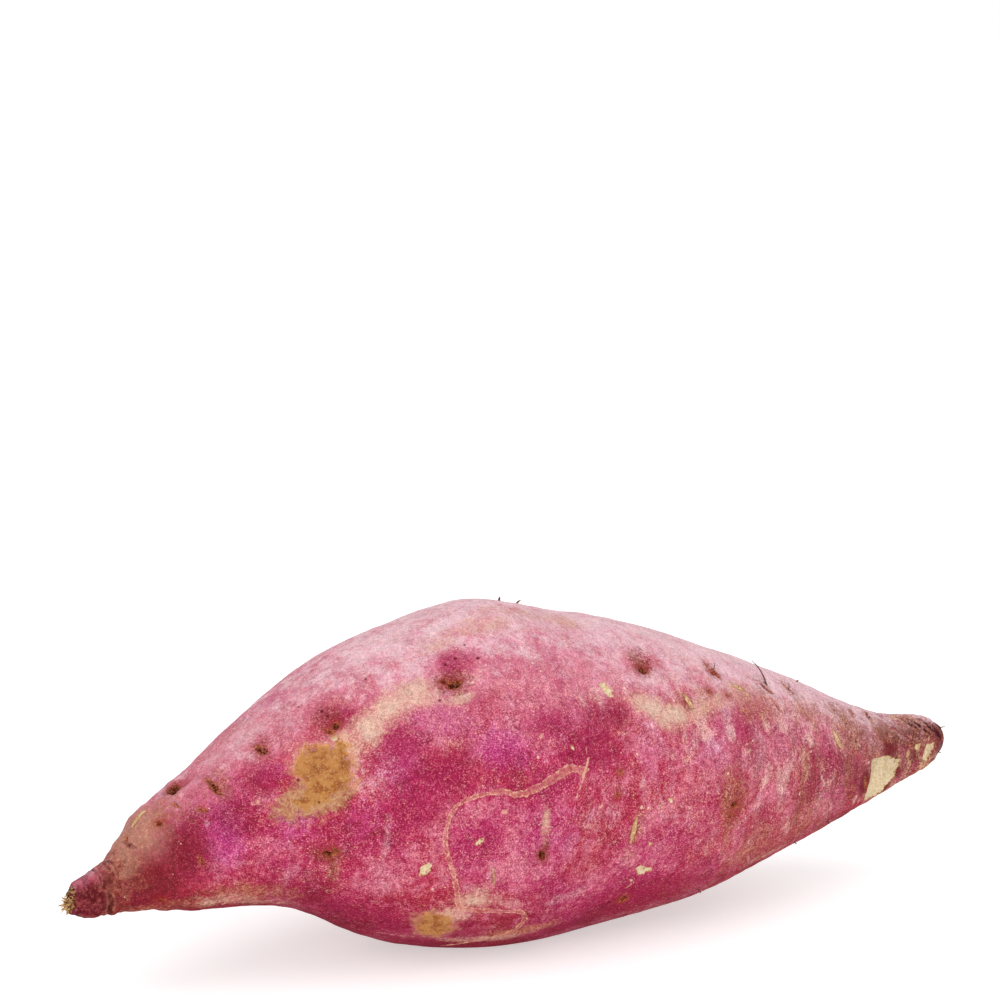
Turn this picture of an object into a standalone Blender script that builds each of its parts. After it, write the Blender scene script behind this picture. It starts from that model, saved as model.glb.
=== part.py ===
"""A sweet potato: one swollen storage root, grown as one piece, lying on its belly.

+X runs along the root from the torn stem end to the root tip, +Z is up, and the origin is on the table, under
the middle of the root. All sizes are in metres. A place on the skin is a share of the length, counted from the
stem end, and an angle round the root in degrees: 0 is the top, 90 the front (-Y), 180 the belly, 270 the back.
"""

import math

import bmesh
import bpy
import numpy as np

# Driving dimensions.
LENGTH = 0.204
WIDTH_TO_HEIGHT = 1.04
FLAT_DEPTH = 0.0013  # how much of the belly the flat resting spot takes away

# The mesh: faces round the root, rings from end to end, and how the rings are shared out.
SIDES = 68
RINGS = 78
STEM_FACE_RINGS = 4
END_CROWDING = 0.42  # 0 spaces the rings evenly, 1 crowds them at both ends as a globe's

# The form: share of the length, height of the middle line, its place sideways, half the section's height.
STATIONS = (
    (0.000, 0.0209, -0.0080, 0.0025),
    (0.012, 0.0211, -0.0076, 0.0034),
    (0.026, 0.0215, -0.0070, 0.0046),
    (0.045, 0.0225, -0.0062, 0.0056),
    (0.075, 0.0260, -0.0052, 0.0092),
    (0.110, 0.0276, -0.0042, 0.0120),
    (0.160, 0.0304, -0.0028, 0.0159),
    (0.230, 0.0341, -0.0012, 0.0217),
    (0.300, 0.0341, -0.0004, 0.0290),
    (0.370, 0.0340, 0.0002, 0.0331),
    (0.440, 0.0346, 0.0005, 0.0352),
    (0.510, 0.0334, 0.0006, 0.0333),
    (0.580, 0.0329, 0.0005, 0.0312),
    (0.660, 0.0314, 0.0003, 0.0279),
    (0.750, 0.0304, 0.0000, 0.0219),
    (0.840, 0.0292, -0.0006, 0.0150),
    (0.920, 0.0287, -0.0012, 0.0086),
    (0.970, 0.0298, -0.0016, 0.0060),
    (1.000, 0.0304, -0.0018, 0.0042),
)
TIP_CAP = 0.034  # share of the length over which the root tip closes

# Slow swellings of the section: size as a share of the radius, lobes round, turns from end to end, start.
SWELLINGS = (
    (0.012, 2, 0.35, 40.0),
    (0.010, 3, -0.55, 110.0),
    (0.006, 5, 0.80, 250.0),
)


# Eyes, the dimples that roots and shoots grow from: share, angle, length along, width round, depth.
EYES = (
    (0.116, 2, 0.0050, 0.0045, 0.0022),
    (0.145, 36, 0.0030, 0.0080, 0.0006),
    (0.190, 31, 0.0045, 0.0050, 0.0008),
    (0.255, 42, 0.0050, 0.0050, 0.0009),
    (0.237, 107, 0.0060, 0.0055, 0.0012),
    (0.372, 39, 0.0085, 0.0070, 0.0018),
    (0.437, 104, 0.0045, 0.0055, 0.0009),
    (0.551, 134, 0.0045, 0.0040, 0.0010),
    (0.584, 38, 0.0070, 0.0060, 0.0014),
    (0.628, 52, 0.0045, 0.0045, 0.0005),
    (0.678, 30, 0.0055, 0.0055, 0.0010),
    (0.668, 97, 0.0055, 0.0060, 0.0009),
    (0.744, 32, 0.0050, 0.0055, 0.0009),
    (0.780, 27, 0.0045, 0.0050, 0.0008),
    (0.893, 27, 0.0045, 0.0045, 0.0006),
    (0.145, 285, 0.0045, 0.0050, 0.0009),
    (0.225, 232, 0.0060, 0.0055, 0.0011),
    (0.305, 318, 0.0065, 0.0060, 0.0012),
    (0.330, 205, 0.0050, 0.0050, 0.0008),
    (0.455, 268, 0.0080, 0.0070, 0.0016),
    (0.520, 330, 0.0055, 0.0055, 0.0010),
    (0.610, 212, 0.0060, 0.0060, 0.0012),
    (0.655, 290, 0.0060, 0.0055, 0.0011),
    (0.760, 240, 0.0050, 0.0055, 0.0009),
    (0.815, 318, 0.0045, 0.0050, 0.0008),
    (0.885, 200, 0.0040, 0.0045, 0.0006),
)
EYE_LIP = 0.22  # height of the rim round an eye, as a share of its depth

# Broad hollows and swells that keep the flanks from being evenly round: as the eyes, negative for a swell.
HOLLOWS = (
    (0.530, 181, 0.0420, 0.0260, -0.0009),
    (0.205, 12, 0.0150, 0.0120, 0.0007),
    (0.330, 75, 0.0220, 0.0200, -0.0006),
    (0.525, 112, 0.0240, 0.0160, 0.0007),
    (0.700, 66, 0.0200, 0.0160, 0.0008),
    (0.420, 222, 0.0260, 0.0200, 0.0009),
    (0.590, 258, 0.0240, 0.0180, -0.0008),
    (0.250, 300, 0.0180, 0.0150, 0.0008),
    (0.740, 285, 0.0180, 0.0140, 0.0007),
)

# Creases round the neck: share, depth, width along, lean (how far the crease runs on from back to front).
NECK_CREASES = (
    (0.030, 0.0006, 0.0024, 0.0020),
    (0.047, 0.0008, 0.0026, 0.0026),
    (0.066, 0.0005, 0.0024, 0.0012),
    (0.086, 0.0005, 0.0028, -0.0010),
    (0.106, 0.0004, 0.0028, 0.0018),
)

# Furrows across the flanks: share, middle angle, reach to each side in degrees, depth, width along.
FURROWS = (
    (0.152, 100, 40, 0.0005, 0.0040),
    (0.182, 60, 35, 0.0004, 0.0040),
    (0.640, 88, 28, 0.0005, 0.0055),
    (0.702, 92, 34, 0.0006, 0.0055),
    (0.730, 62, 24, 0.0004, 0.0050),
    (0.768, 88, 36, 0.0007, 0.0050),
    (0.800, 60, 26, 0.0004, 0.0050),
    (0.838, 96, 42, 0.0006, 0.0050),
    (0.866, 40, 34, 0.0004, 0.0045),
    (0.915, 30, 44, 0.0004, 0.0040),
    (0.945, 60, 60, 0.0003, 0.0035),
    (0.170, 225, 42, 0.0005, 0.0045),
    (0.270, 270, 26, 0.0004, 0.0055),
    (0.400, 300, 22, 0.0004, 0.0060),
    (0.555, 232, 26, 0.0005, 0.0060),
    (0.690, 250, 34, 0.0006, 0.0055),
    (0.725, 205, 28, 0.0005, 0.0050),
    (0.790, 278, 36, 0.0006, 0.0050),
    (0.845, 235, 40, 0.0005, 0.0045),
    (0.905, 262, 48, 0.0004, 0.0040),
    (0.950, 220, 60, 0.0003, 0.0035),
)

# Flat scrapes that have taken the skin off near the root tip: share, angle, depth under the skin, reach.
SCRAPES = (
    (0.894, 104, 0.0008, 0.0090),
    (0.963, 93, 0.0006, 0.0060),
)

# The torn stem face: how ragged it is, and the hollow where the vine's pith has rotted out.
TEAR_HEIGHT = 0.0007
PITH_HOLLOW = (0.0006, 0.0007, 0.0009, 0.0012)  # up, to the front, radius, depth

SKIN = ((0.56, 0.16, 0.22, 1.0), 0.55, 0.0)  # colour, roughness, metallic


def smooth_curve(shares, values):
    """A natural cubic through the stations, as a function of the share of the length."""
    shares, values = np.array(shares), np.array(values)
    steps = np.diff(shares)
    count = len(shares)
    matrix = np.eye(count)
    right = np.zeros(count)
    for i in range(1, count - 1):
        matrix[i, i - 1 : i + 2] = steps[i - 1], 2 * (steps[i - 1] + steps[i]), steps[i]
        right[i] = 6 * ((values[i + 1] - values[i]) / steps[i] - (values[i] - values[i - 1]) / steps[i - 1])
    bend = np.linalg.solve(matrix, right)

    def curve(share):
        share = np.asarray(share, float)
        i = np.clip(np.searchsorted(shares, share) - 1, 0, count - 2)
        before = (share - shares[i]) / steps[i]
        after = 1 - before
        cubic = (after**3 - after) * bend[i] + (before**3 - before) * bend[i + 1]
        return after * values[i] + before * values[i + 1] + cubic * steps[i] ** 2 / 6

    return curve


def form_curves(stations):
    shares, heights, sideways, halves = zip(*stations)
    return smooth_curve(shares, heights), smooth_curve(shares, sideways), smooth_curve(shares, halves)


def swelling(share, angle):
    total = 1.0
    for size, lobes, turns, start in SWELLINGS:
        total = total + size * np.sin(lobes * angle + 2 * math.pi * turns * share + math.radians(start))
    return total


def body_point(share, angle, fullness=1.0, stations=STATIONS):
    """A point of the smooth root; fullness 1 is the skin, and 0 the middle line."""
    height, sideways, half = form_curves(stations)
    closing = np.clip((share - (1 - TIP_CAP)) / TIP_CAP, 0, 1)
    radius = half(share) * np.sqrt(1 - closing**2) * fullness * swelling(share, angle)
    x = (share - 0.5) * LENGTH
    y = sideways(share) - radius * WIDTH_TO_HEIGHT * np.sin(angle)
    z = height(share) + radius * np.cos(angle)
    return np.stack(np.broadcast_arrays(x, y, z), -1)


def outward(share, angle):
    """The skin's outward direction, from two short steps along it and round it."""
    step = 1e-4
    along = body_point(share + step, angle) - body_point(share - step, angle)
    around = body_point(share, angle + step) - body_point(share, angle - step)
    normal = np.cross(around, along)
    return normal / np.maximum(np.linalg.norm(normal, axis=-1, keepdims=True), 1e-12)


def skin_frame(share, angle_degrees):
    """A place on the skin with its directions along the root, round it and outward."""
    angle = math.radians(angle_degrees)
    place = body_point(share, angle)
    out = outward(share, angle)
    along = body_point(share + 1e-3, angle) - body_point(share - 1e-3, angle)
    along = along / np.linalg.norm(along)
    return place, along, np.cross(out, along), out


def dimple(points, feature, lip):
    """How far a dimple with a low rim moves the points outward."""
    share, angle, length, width, depth = feature
    place, along, around, _ = skin_frame(share, angle)
    offset = points - place
    reach = np.linalg.norm(offset, axis=-1) / (0.5 * (length + width))
    across = (offset @ along / (0.5 * length)) ** 2 + (offset @ around / (0.5 * width)) ** 2
    near = reach < 3
    hollow = np.exp(-across)
    rim = across * np.exp(1 - across)
    return np.where(near, depth * (lip * rim - hollow), 0.0)


def neck_crease(points, angle, crease):
    share, depth, width, lean = crease
    middle = (share - 0.5) * LENGTH + lean * np.sin(angle)
    off = (points[..., 0] - middle) / (0.5 * width)
    swelling_beside = 0.45 * np.exp(-((np.abs(off) - 2.0) ** 2))
    return depth * (swelling_beside - np.exp(-(off**2)))


def furrow(share, angle, feature):
    at, middle, reach, depth, width = feature
    off_along = (share - at) * LENGTH / (0.5 * width)
    turn = (np.degrees(angle) - middle + 180) % 360 - 180
    off_round = turn / reach
    wander = 0.5 * np.sin(3 * np.radians(turn) + 10 * at)
    return -depth * np.exp(-((off_along - wander) ** 2) - off_round**2)


def relief(points, share, angle):
    """The height of everything small on the skin: eyes, hollows, neck creases and furrows."""
    height = np.zeros(points.shape[:-1])
    for eye in EYES:
        height += dimple(points, eye, EYE_LIP)
    for hollow in HOLLOWS:
        height += dimple(points, hollow, 0.0)
    for crease in NECK_CREASES:
        height += neck_crease(points, angle, crease)
    for feature in FURROWS:
        height += furrow(share, angle, feature)
    return height


def scrape_flat(points):
    """Planes the skin off where it stands above each scrape, fading out at the scrape's reach."""
    for share, angle, depth, reach in SCRAPES:
        place, _, _, out = skin_frame(share, angle)
        offset = points - place
        proud = np.maximum(offset @ out + depth, 0.0)
        nearness = np.clip(2 - 2 * np.linalg.norm(offset, axis=-1) / reach, 0, 1)
        points = points - (proud * nearness)[..., None] * out
    return points


def tear_stem_face(points, fullness, angle):
    """Makes the stem face ragged, and sinks the pith hollow into it."""
    ragged = np.sin(5 * angle + 4 * fullness) + 0.7 * np.sin(9 * angle - 7 * fullness)
    up, front, radius, depth = PITH_HOLLOW
    middle = body_point(0.0, 0.0, 0.0)
    off_up = points[..., 2] - middle[2] - up
    off_front = middle[1] - points[..., 1] - front
    hollow = depth * np.exp(-(off_up**2 + off_front**2) / radius**2)
    points = points.copy()
    points[..., 0] += 0.5 * TEAR_HEIGHT * ragged * fullness + hollow
    return points


def ring_place(turn):
    """The share of the length and the fullness of a ring, for its place from 0 to 1 between the poles."""
    face_end = STEM_FACE_RINGS / RINGS
    fullness = np.clip(turn / face_end, 0, 1)
    even = np.clip((turn - face_end) / (1 - face_end), 0, 1)
    crowded = 0.5 - 0.5 * np.cos(math.pi * even)
    return even + END_CROWDING * (crowded - even), fullness


def root_points(sphere_points):
    """Moves the points of a unit sphere, poles up and down, onto the root."""
    turn = np.arccos(np.clip(sphere_points[:, 2], -1, 1)) / math.pi
    angle = np.arctan2(-sphere_points[:, 1], sphere_points[:, 0]) % (2 * math.pi)
    share, fullness = ring_place(turn)
    smooth = body_point(share, angle, fullness)
    on_skin = fullness >= 1
    closed = share >= 1 - 1e-9
    inside = np.clip(share, 1e-3, 1 - 1e-3)
    direction = np.where(closed[:, None], (1.0, 0.0, 0.0), outward(inside, angle))
    raised = smooth + relief(smooth, share, angle)[:, None] * direction
    raised = scrape_flat(raised)
    return np.where(on_skin[:, None], raised, tear_stem_face(smooth, fullness, angle))


def rest_on_table(points):
    """Puts the middle of the root over the origin and flattens the belly where it rests."""
    points = points.copy()
    low, high = points.min(axis=0), points.max(axis=0)
    points[:, :2] -= (0.5 * (low + high))[:2]
    points[:, 2] -= low[2] + FLAT_DEPTH
    points[:, 2] = np.maximum(points[:, 2], 0.0)
    return points


def make_root_mesh():
    mesh = bpy.data.meshes.new("sweet_potato")
    shape = bmesh.new()
    bmesh.ops.create_uvsphere(shape, u_segments=SIDES, v_segments=RINGS, radius=1.0)
    shape.verts.ensure_lookup_table()
    sphere_points = np.array([vert.co for vert in shape.verts])
    for vert, point in zip(shape.verts, rest_on_table(root_points(sphere_points))):
        vert.co = point
    bmesh.ops.triangulate(shape, faces=shape.faces)
    shape.to_mesh(mesh)
    shape.free()
    mesh.shade_smooth()
    return mesh


def make_skin_material():
    colour, roughness, metallic = SKIN
    material = bpy.data.materials.new("skin")
    material.use_nodes = True
    shader = material.node_tree.nodes["Principled BSDF"]
    shader.inputs["Base Color"].default_value = colour
    shader.inputs["Roughness"].default_value = roughness
    shader.inputs["Metallic"].default_value = metallic
    material.diffuse_color = colour
    return material


def clear_scene():
    for thing in list(bpy.data.objects):
        bpy.data.objects.remove(thing, do_unlink=True)


def main():
    clear_scene()
    collection = bpy.data.collections.new("sweet_potato")
    bpy.context.scene.collection.children.link(collection)
    root = bpy.data.objects.new("sweet_potato", make_root_mesh())
    root.data.materials.append(make_skin_material())
    collection.objects.link(root)


if __name__ == "__main__":
    main()
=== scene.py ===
import math
import random

import bmesh
import bpy
import numpy as np
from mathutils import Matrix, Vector, noise
from mathutils.bvhtree import BVHTree
from mathutils.kdtree import KDTree


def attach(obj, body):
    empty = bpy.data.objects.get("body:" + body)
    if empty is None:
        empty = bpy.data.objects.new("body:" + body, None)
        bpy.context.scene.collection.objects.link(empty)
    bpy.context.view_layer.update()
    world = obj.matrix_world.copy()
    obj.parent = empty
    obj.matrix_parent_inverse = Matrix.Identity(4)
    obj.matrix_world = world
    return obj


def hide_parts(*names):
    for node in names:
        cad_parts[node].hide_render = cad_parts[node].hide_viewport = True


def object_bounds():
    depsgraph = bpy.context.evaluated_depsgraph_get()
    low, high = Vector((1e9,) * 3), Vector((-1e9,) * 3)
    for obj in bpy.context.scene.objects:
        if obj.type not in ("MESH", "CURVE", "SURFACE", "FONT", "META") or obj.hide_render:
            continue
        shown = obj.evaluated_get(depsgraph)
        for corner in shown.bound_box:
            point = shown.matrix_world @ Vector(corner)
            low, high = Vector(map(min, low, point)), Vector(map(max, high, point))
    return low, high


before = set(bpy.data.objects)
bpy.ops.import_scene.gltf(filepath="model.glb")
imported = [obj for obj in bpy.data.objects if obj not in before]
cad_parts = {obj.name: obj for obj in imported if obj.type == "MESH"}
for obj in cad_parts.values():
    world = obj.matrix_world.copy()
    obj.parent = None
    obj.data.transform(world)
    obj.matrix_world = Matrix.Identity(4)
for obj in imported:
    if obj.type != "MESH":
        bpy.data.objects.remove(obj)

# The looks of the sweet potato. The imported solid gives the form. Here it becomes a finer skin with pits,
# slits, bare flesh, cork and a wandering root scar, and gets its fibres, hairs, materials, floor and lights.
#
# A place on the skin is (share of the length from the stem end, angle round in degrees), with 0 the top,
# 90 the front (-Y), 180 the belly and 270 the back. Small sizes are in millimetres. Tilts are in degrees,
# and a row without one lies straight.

NODE = "sweet_potato"
BODY = "root"
MM = 0.001
CAD_LOW, CAD_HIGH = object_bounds()
LENGTH = CAD_HIGH.x - CAD_LOW.x
FLATTENING = 1.04  # width of a cross section over its height

# The skin mesh: the longest edges in millimetres, away from the marks and close to them.
PLAIN_EDGE = 0.95
UNDER_EDGE = 1.15
END_EDGE = 0.55
TIP_EDGE = 0.40
FINE_EDGE = 0.34
EDGE_GROWTH = 0.30  # growth of the edges for each millimetre away from a mark
REFINE_ROUNDS = 4

# The wrinkled ends, as shares of the length.
NECK_END = 0.095
STUB_END = 0.055
TIP_START = 0.925
BARK_START = 0.935

# Pits: place, length along, width round, depth, tilt.
PITS = (
    (0.115, 4, 2.0, 3.2, 2.2, 20), (0.115, 4, 2.7, 4.1, 0.0, 20), (0.089, 37, 1.0, 0.8, 0.6, 30),
    (0.256, 42, 1.2, 1.2, 0.9), (0.250, 44, 0.9, 0.7, 0.5, 40), (0.237, 106, 1.7, 1.1, 0.9, 10),
    (0.243, 104, 0.9, 0.9, 0.6), (0.372, 40, 2.9, 1.7, 0.7, -6), (0.363, 38, 1.3, 1.0, 0.7),
    (0.437, 106, 1.3, 1.7, 1.0, -20), (0.551, 133, 1.2, 0.9, 0.9, -25), (0.551, 133, 1.7, 1.4, 0.0, -25),
    (0.584, 38, 1.7, 1.5, 1.1), (0.668, 95, 1.4, 1.1, 0.8), (0.664, 100, 0.7, 0.7, 0.5),
    (0.677, 33, 1.3, 1.1, 0.8), (0.526, 78, 0.6, 0.6, 0.4), (0.521, 86, 0.5, 0.5, 0.3),
    (0.656, 45, 0.8, 0.8, 0.4), (0.680, 45, 0.6, 0.6, 0.3), (0.087, 128, 0.9, 0.7, 0.4),
    (0.145, 285, 1.6, 1.3, 0.9, 15), (0.225, 232, 2.1, 1.4, 1.0, -10), (0.305, 318, 2.4, 1.5, 1.1, 10),
    (0.330, 205, 1.5, 1.2, 0.8), (0.455, 268, 3.2, 1.8, 1.3, 8), (0.520, 330, 1.8, 1.4, 0.9, -15),
    (0.610, 212, 2.0, 1.4, 1.0, 20), (0.655, 290, 2.2, 1.3, 1.0, -8), (0.760, 240, 1.5, 1.2, 0.9),
    (0.815, 318, 1.4, 1.1, 0.8, 12), (0.885, 200, 1.2, 1.0, 0.7),
)

# Small dark dots round the eyes: place, width.
DOTS = (
    (0.295, 26, 0.5), (0.234, 21, 0.4), (0.370, 32, 0.6), (0.381, 31, 0.7), (0.401, 34, 0.7),
    (0.249, 32, 0.7), (0.252, 36, 0.5), (0.395, 27, 0.5), (0.534, 133, 0.8), (0.352, 45, 0.6),
    (0.229, 77, 0.5), (0.214, 62, 0.6),
)

# Slits where a fine root sat: one end, the other end, width, depth.
SLITS = (
    (0.112, -2, 0.117, 11, 2.4, 0.8), (0.672, 27, 0.682, 36, 1.0, 0.7), (0.741, 29, 0.748, 37, 0.8, 0.6),
    (0.776, 23, 0.782, 32, 0.8, 0.6), (0.743, 41, 0.750, 49, 0.6, 0.4), (0.140, 25, 0.147, 45, 1.2, 0.5),
    (0.188, 27, 0.194, 37, 1.3, 0.6), (0.119, 84, 0.122, 92, 0.6, 0.3), (0.106, 25, 0.110, 32, 0.6, 0.3),
    (0.124, 43, 0.131, 50, 0.7, 0.3), (0.866, 99, 0.871, 116, 0.7, 0.3),
    (0.845, 104, 0.843, 116, 0.5, 0.3), (0.893, 19, 0.893, 34, 0.6, 0.4), (0.866, 26, 0.865, 34, 0.7, 0.3),
    (0.064, 10, 0.062, 19, 0.5, 0.4), (0.128, 296, 0.134, 312, 1.0, 0.5),
    (0.395, 246, 0.402, 256, 0.9, 0.5), (0.565, 305, 0.572, 314, 0.9, 0.5),
    (0.700, 222, 0.706, 234, 0.9, 0.6), (0.742, 300, 0.748, 311, 0.8, 0.5),
    (0.835, 262, 0.838, 278, 0.7, 0.4),
)

# Bare flesh: the middle, and the outline as (along, round) from it.
FLESH_PATCHES = (
    (0.893, 102, ((-3.4, -4.2), (1.8, -3.6), (6.1, -1.6), (5.4, 2.1), (2.0, 4.0), (2.6, 6.4), (-3.9, 6.2),
                  (-4.6, 3.8), (-3.4, 1.4))),
    (0.963, 93, ((-0.3, -1.5), (2.3, -1.4), (1.8, 0.0), (0.0, 2.3), (-1.7, 1.6))),
    (0.946, 76, ((-0.5, -0.7), (0.6, -0.5), (0.5, 0.7), (-0.4, 0.6))),
    (0.564, 119, ((-2.0, -1.0), (-1.0, -1.4), (0.4, -0.5), (1.9, -0.3), (2.1, 0.6), (0.2, 1.0), (-1.2, 0.9))),
    (0.322, 108, ((-1.0, 1.2), (-1.0, -0.6), (0.4, -1.9), (1.3, -1.3), (0.5, 0.6))),
    (0.529, 48, ((-1.2, -1.5), (0.3, -1.9), (1.3, 0.4), (1.2, 1.8), (0.1, 1.7), (-0.8, 0.5))),
    (0.371, 97, ((-1.0, 0.6), (-0.3, -0.3), (0.9, -0.9), (0.7, -0.1), (-0.4, 0.8))),
    (0.551, 123, ((-0.4, -0.4), (0.5, -0.3), (0.2, 0.5))),
    (0.565, 107, ((-0.3, -0.6), (0.5, 0.0), (-0.1, 0.7))),
    (0.473, 70, ((-0.4, -0.5), (0.4, -0.2), (0.2, 0.6), (-0.3, 0.4))),
    (0.584, 90, ((-0.5, -0.3), (0.4, -0.4), (0.3, 0.5))),
    (0.252, 48, ((-0.8, -0.3), (0.6, -0.6), (0.4, 0.3), (-0.3, 0.5))),
    (0.340, 222, ((-1.6, -0.9), (0.4, -1.2), (1.5, 0.2), (-0.5, 1.0))),
    (0.600, 240, ((-1.2, -0.4), (0.9, -0.9), (1.2, 0.4), (-0.6, 0.9))),
    (0.780, 215, ((-2.1, -1.2), (1.0, -1.7), (2.4, 0.3), (0.2, 1.6), (-1.8, 0.8))),
)

# Pale corky lenses: one end, the other end, width.
LENSES = (
    (0.695, 38, 0.708, 40, 1.1), (0.819, 57, 0.827, 71, 1.3), (0.085, 4, 0.069, 8, 1.5),
    (0.929, 13, 0.939, 15, 1.0), (0.386, 107, 0.392, 115, 0.5), (0.621, 48, 0.628, 54, 1.2),
    (0.544, 95, 0.541, 106, 1.2), (0.438, 282, 0.450, 287, 1.1), (0.722, 262, 0.727, 272, 1.1),
)

# The corky scab on the front and smaller ones, then the tan skin round them: middle and outline as above.
CORK_PATCHES = (
    (0.239, 60, ((-5.6, -0.6), (-5.2, -2.6), (-2.8, -4.2), (-1.2, -3.5), (0.8, -4.3), (2.6, -3.2),
                 (3.4, -4.4), (4.9, -3.0), (4.4, -1.2), (5.8, 0.6), (4.2, 2.0), (4.9, 3.8), (2.2, 4.6),
                 (0.4, 6.4), (-3.4, 6.8), (-6.6, 8.2), (-8.8, 7.6), (-7.2, 5.4), (-4.4, 4.2), (-4.2, 1.6))),
    (0.344, 135, ((-3.1, 0.4), (-3.2, -2.6), (-1.2, -3.9), (2.2, -2.8), (4.0, 1.5), (2.4, 5.0), (-0.9, 4.6))),
    (0.560, 196, ((-3.0, -2.2), (1.5, -3.2), (4.2, -0.4), (2.4, 2.6), (-2.2, 2.4))),
    (0.292, 282, ((-2.6, -2.8), (1.6, -3.0), (3.4, 0.6), (0.6, 3.2), (-3.2, 1.6))),
)
TAN_PATCHES = (
    (0.239, 60, ((-5.4, 1.8), (-2.5, 4.0), (2.4, 4.2), (4.9, 6.0), (2.5, 8.3), (-3.5, 9.3), (-9.0, 9.6),
                 (-12.4, 7.6), (-11.0, 5.0), (-7.5, 2.5))),
    (0.292, 282, ((2.0, -3.4), (7.5, -6.5), (9.5, -3.0), (4.5, 1.8))),
)

# The root scar that wanders down the front: places along it with its width, then its side branch.
SCAR_PATH = (
    (0.487, 77.5, 0.6), (0.479, 77.5, 1.5), (0.468, 77, 1.9), (0.457, 78.4, 2.0), (0.446, 80, 1.8),
    (0.431, 82, 1.5), (0.418, 83.2, 1.3), (0.406, 82.8, 1.2), (0.395, 81.2, 1.1), (0.375, 80.8, 1.0),
    (0.355, 82, 0.9), (0.342, 87, 1.0), (0.338, 96, 1.1), (0.344, 104, 1.1), (0.350, 110, 1.1),
    (0.356, 117, 1.2), (0.362, 124, 1.5), (0.378, 126, 1.6), (0.406, 127.5, 1.2), (0.427, 129, 1.2),
    (0.435, 133.5, 1.3), (0.432, 138, 1.3), (0.424, 142, 1.2), (0.390, 149, 1.0), (0.370, 155, 0.5),
)
BACK_SCAR_PATH = (
    (0.640, 262, 0.5), (0.625, 255, 0.9), (0.600, 252, 1.1), (0.575, 246, 1.1), (0.560, 238, 1.0),
    (0.540, 230, 1.1), (0.515, 226, 1.0), (0.490, 219, 0.9), (0.480, 210, 0.5),
)

SCAR_FULLNESS = 0.85  # share of the given widths that the ridge takes

# Fine pale scratches: one end, the other end, width.
SCRATCHES = (
    (0.484, 77, 0.478, 82, 0.60), (0.478, 82, 0.469, 88, 0.45), (0.485, 77, 0.491, 73, 0.50),
    (0.503, 89, 0.494, 94, 0.40), (0.555, 124, 0.548, 127, 0.35), (0.533, 62, 0.528, 67, 0.25),
    (0.490, 69, 0.487, 73, 0.30), (0.300, 152, 0.345, 146, 0.35), (0.580, 276, 0.570, 290, 0.35),
    (0.350, 236, 0.372, 244, 0.30), (0.460, 312, 0.474, 322, 0.30),
)

# Soft stains, each one ellipse: place, reach along, reach round, strength, tilt.
BEIGE_STAINS = (
    (0.262, 53, 3.4, 3.6, 0.75), (0.284, 48, 4.2, 3.6, 0.95, -35), (0.304, 42, 4.6, 3.0, 1.00, -35),
    (0.328, 40, 5.0, 3.4, 0.95, -5), (0.312, 45, 4.0, 3.0, 0.60, -20), (0.372, 46, 3.6, 1.6, 0.90, -4),
    (0.385, 40, 1.8, 1.5, 0.50), (0.420, 20, 8.5, 3.4, 0.60, 5), (0.455, 15, 8.0, 4.0, 0.50),
    (0.372, 22, 5.0, 3.0, 0.50, -10), (0.515, 14, 6.0, 3.2, 0.60), (0.574, 54, 4.5, 2.4, 1.00, 25),
    (0.598, 58, 5.0, 2.8, 0.95), (0.634, 54, 5.0, 2.0, 0.70, -25), (0.668, 48, 5.5, 2.4, 0.60, -10),
    (0.697, 40, 5.5, 3.0, 0.50, -8), (0.438, 96, 1.0, 3.6, 0.75), (0.375, 121, 5.0, 2.2, 0.75),
    (0.360, 128, 4.0, 3.0, 0.75), (0.385, 120, 3.4, 3.0, 0.60, 12), (0.410, 124, 4.0, 1.4, 0.50, 8),
    (0.400, 146, 9.0, 1.8, 0.60, -6), (0.455, 142, 7.0, 1.6, 0.30, -4), (0.150, 138, 7.0, 2.6, 0.55),
    (0.185, 146, 8.0, 2.4, 0.40, 4), (0.735, 136, 8.0, 2.0, 0.35, 6), (0.774, 80, 1.5, 5.0, 0.45),
    (0.826, 66, 3.0, 3.6, 0.35), (0.880, 86, 3.0, 3.0, 0.35), (0.210, 300, 6.0, 4.0, 0.60, 20),
    (0.330, 285, 7.0, 3.5, 0.70, -25), (0.480, 250, 5.0, 4.5, 0.50, 15), (0.420, 340, 9.0, 5.0, 0.60),
    (0.560, 345, 9.0, 5.0, 0.55, 5), (0.620, 300, 7.0, 3.2, 0.60, -20), (0.700, 255, 6.0, 4.0, 0.50, 10),
    (0.540, 182, 16.0, 8.0, 0.55), (0.420, 190, 12.0, 7.0, 0.50), (0.300, 190, 9.0, 5.0, 0.40),
)
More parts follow.
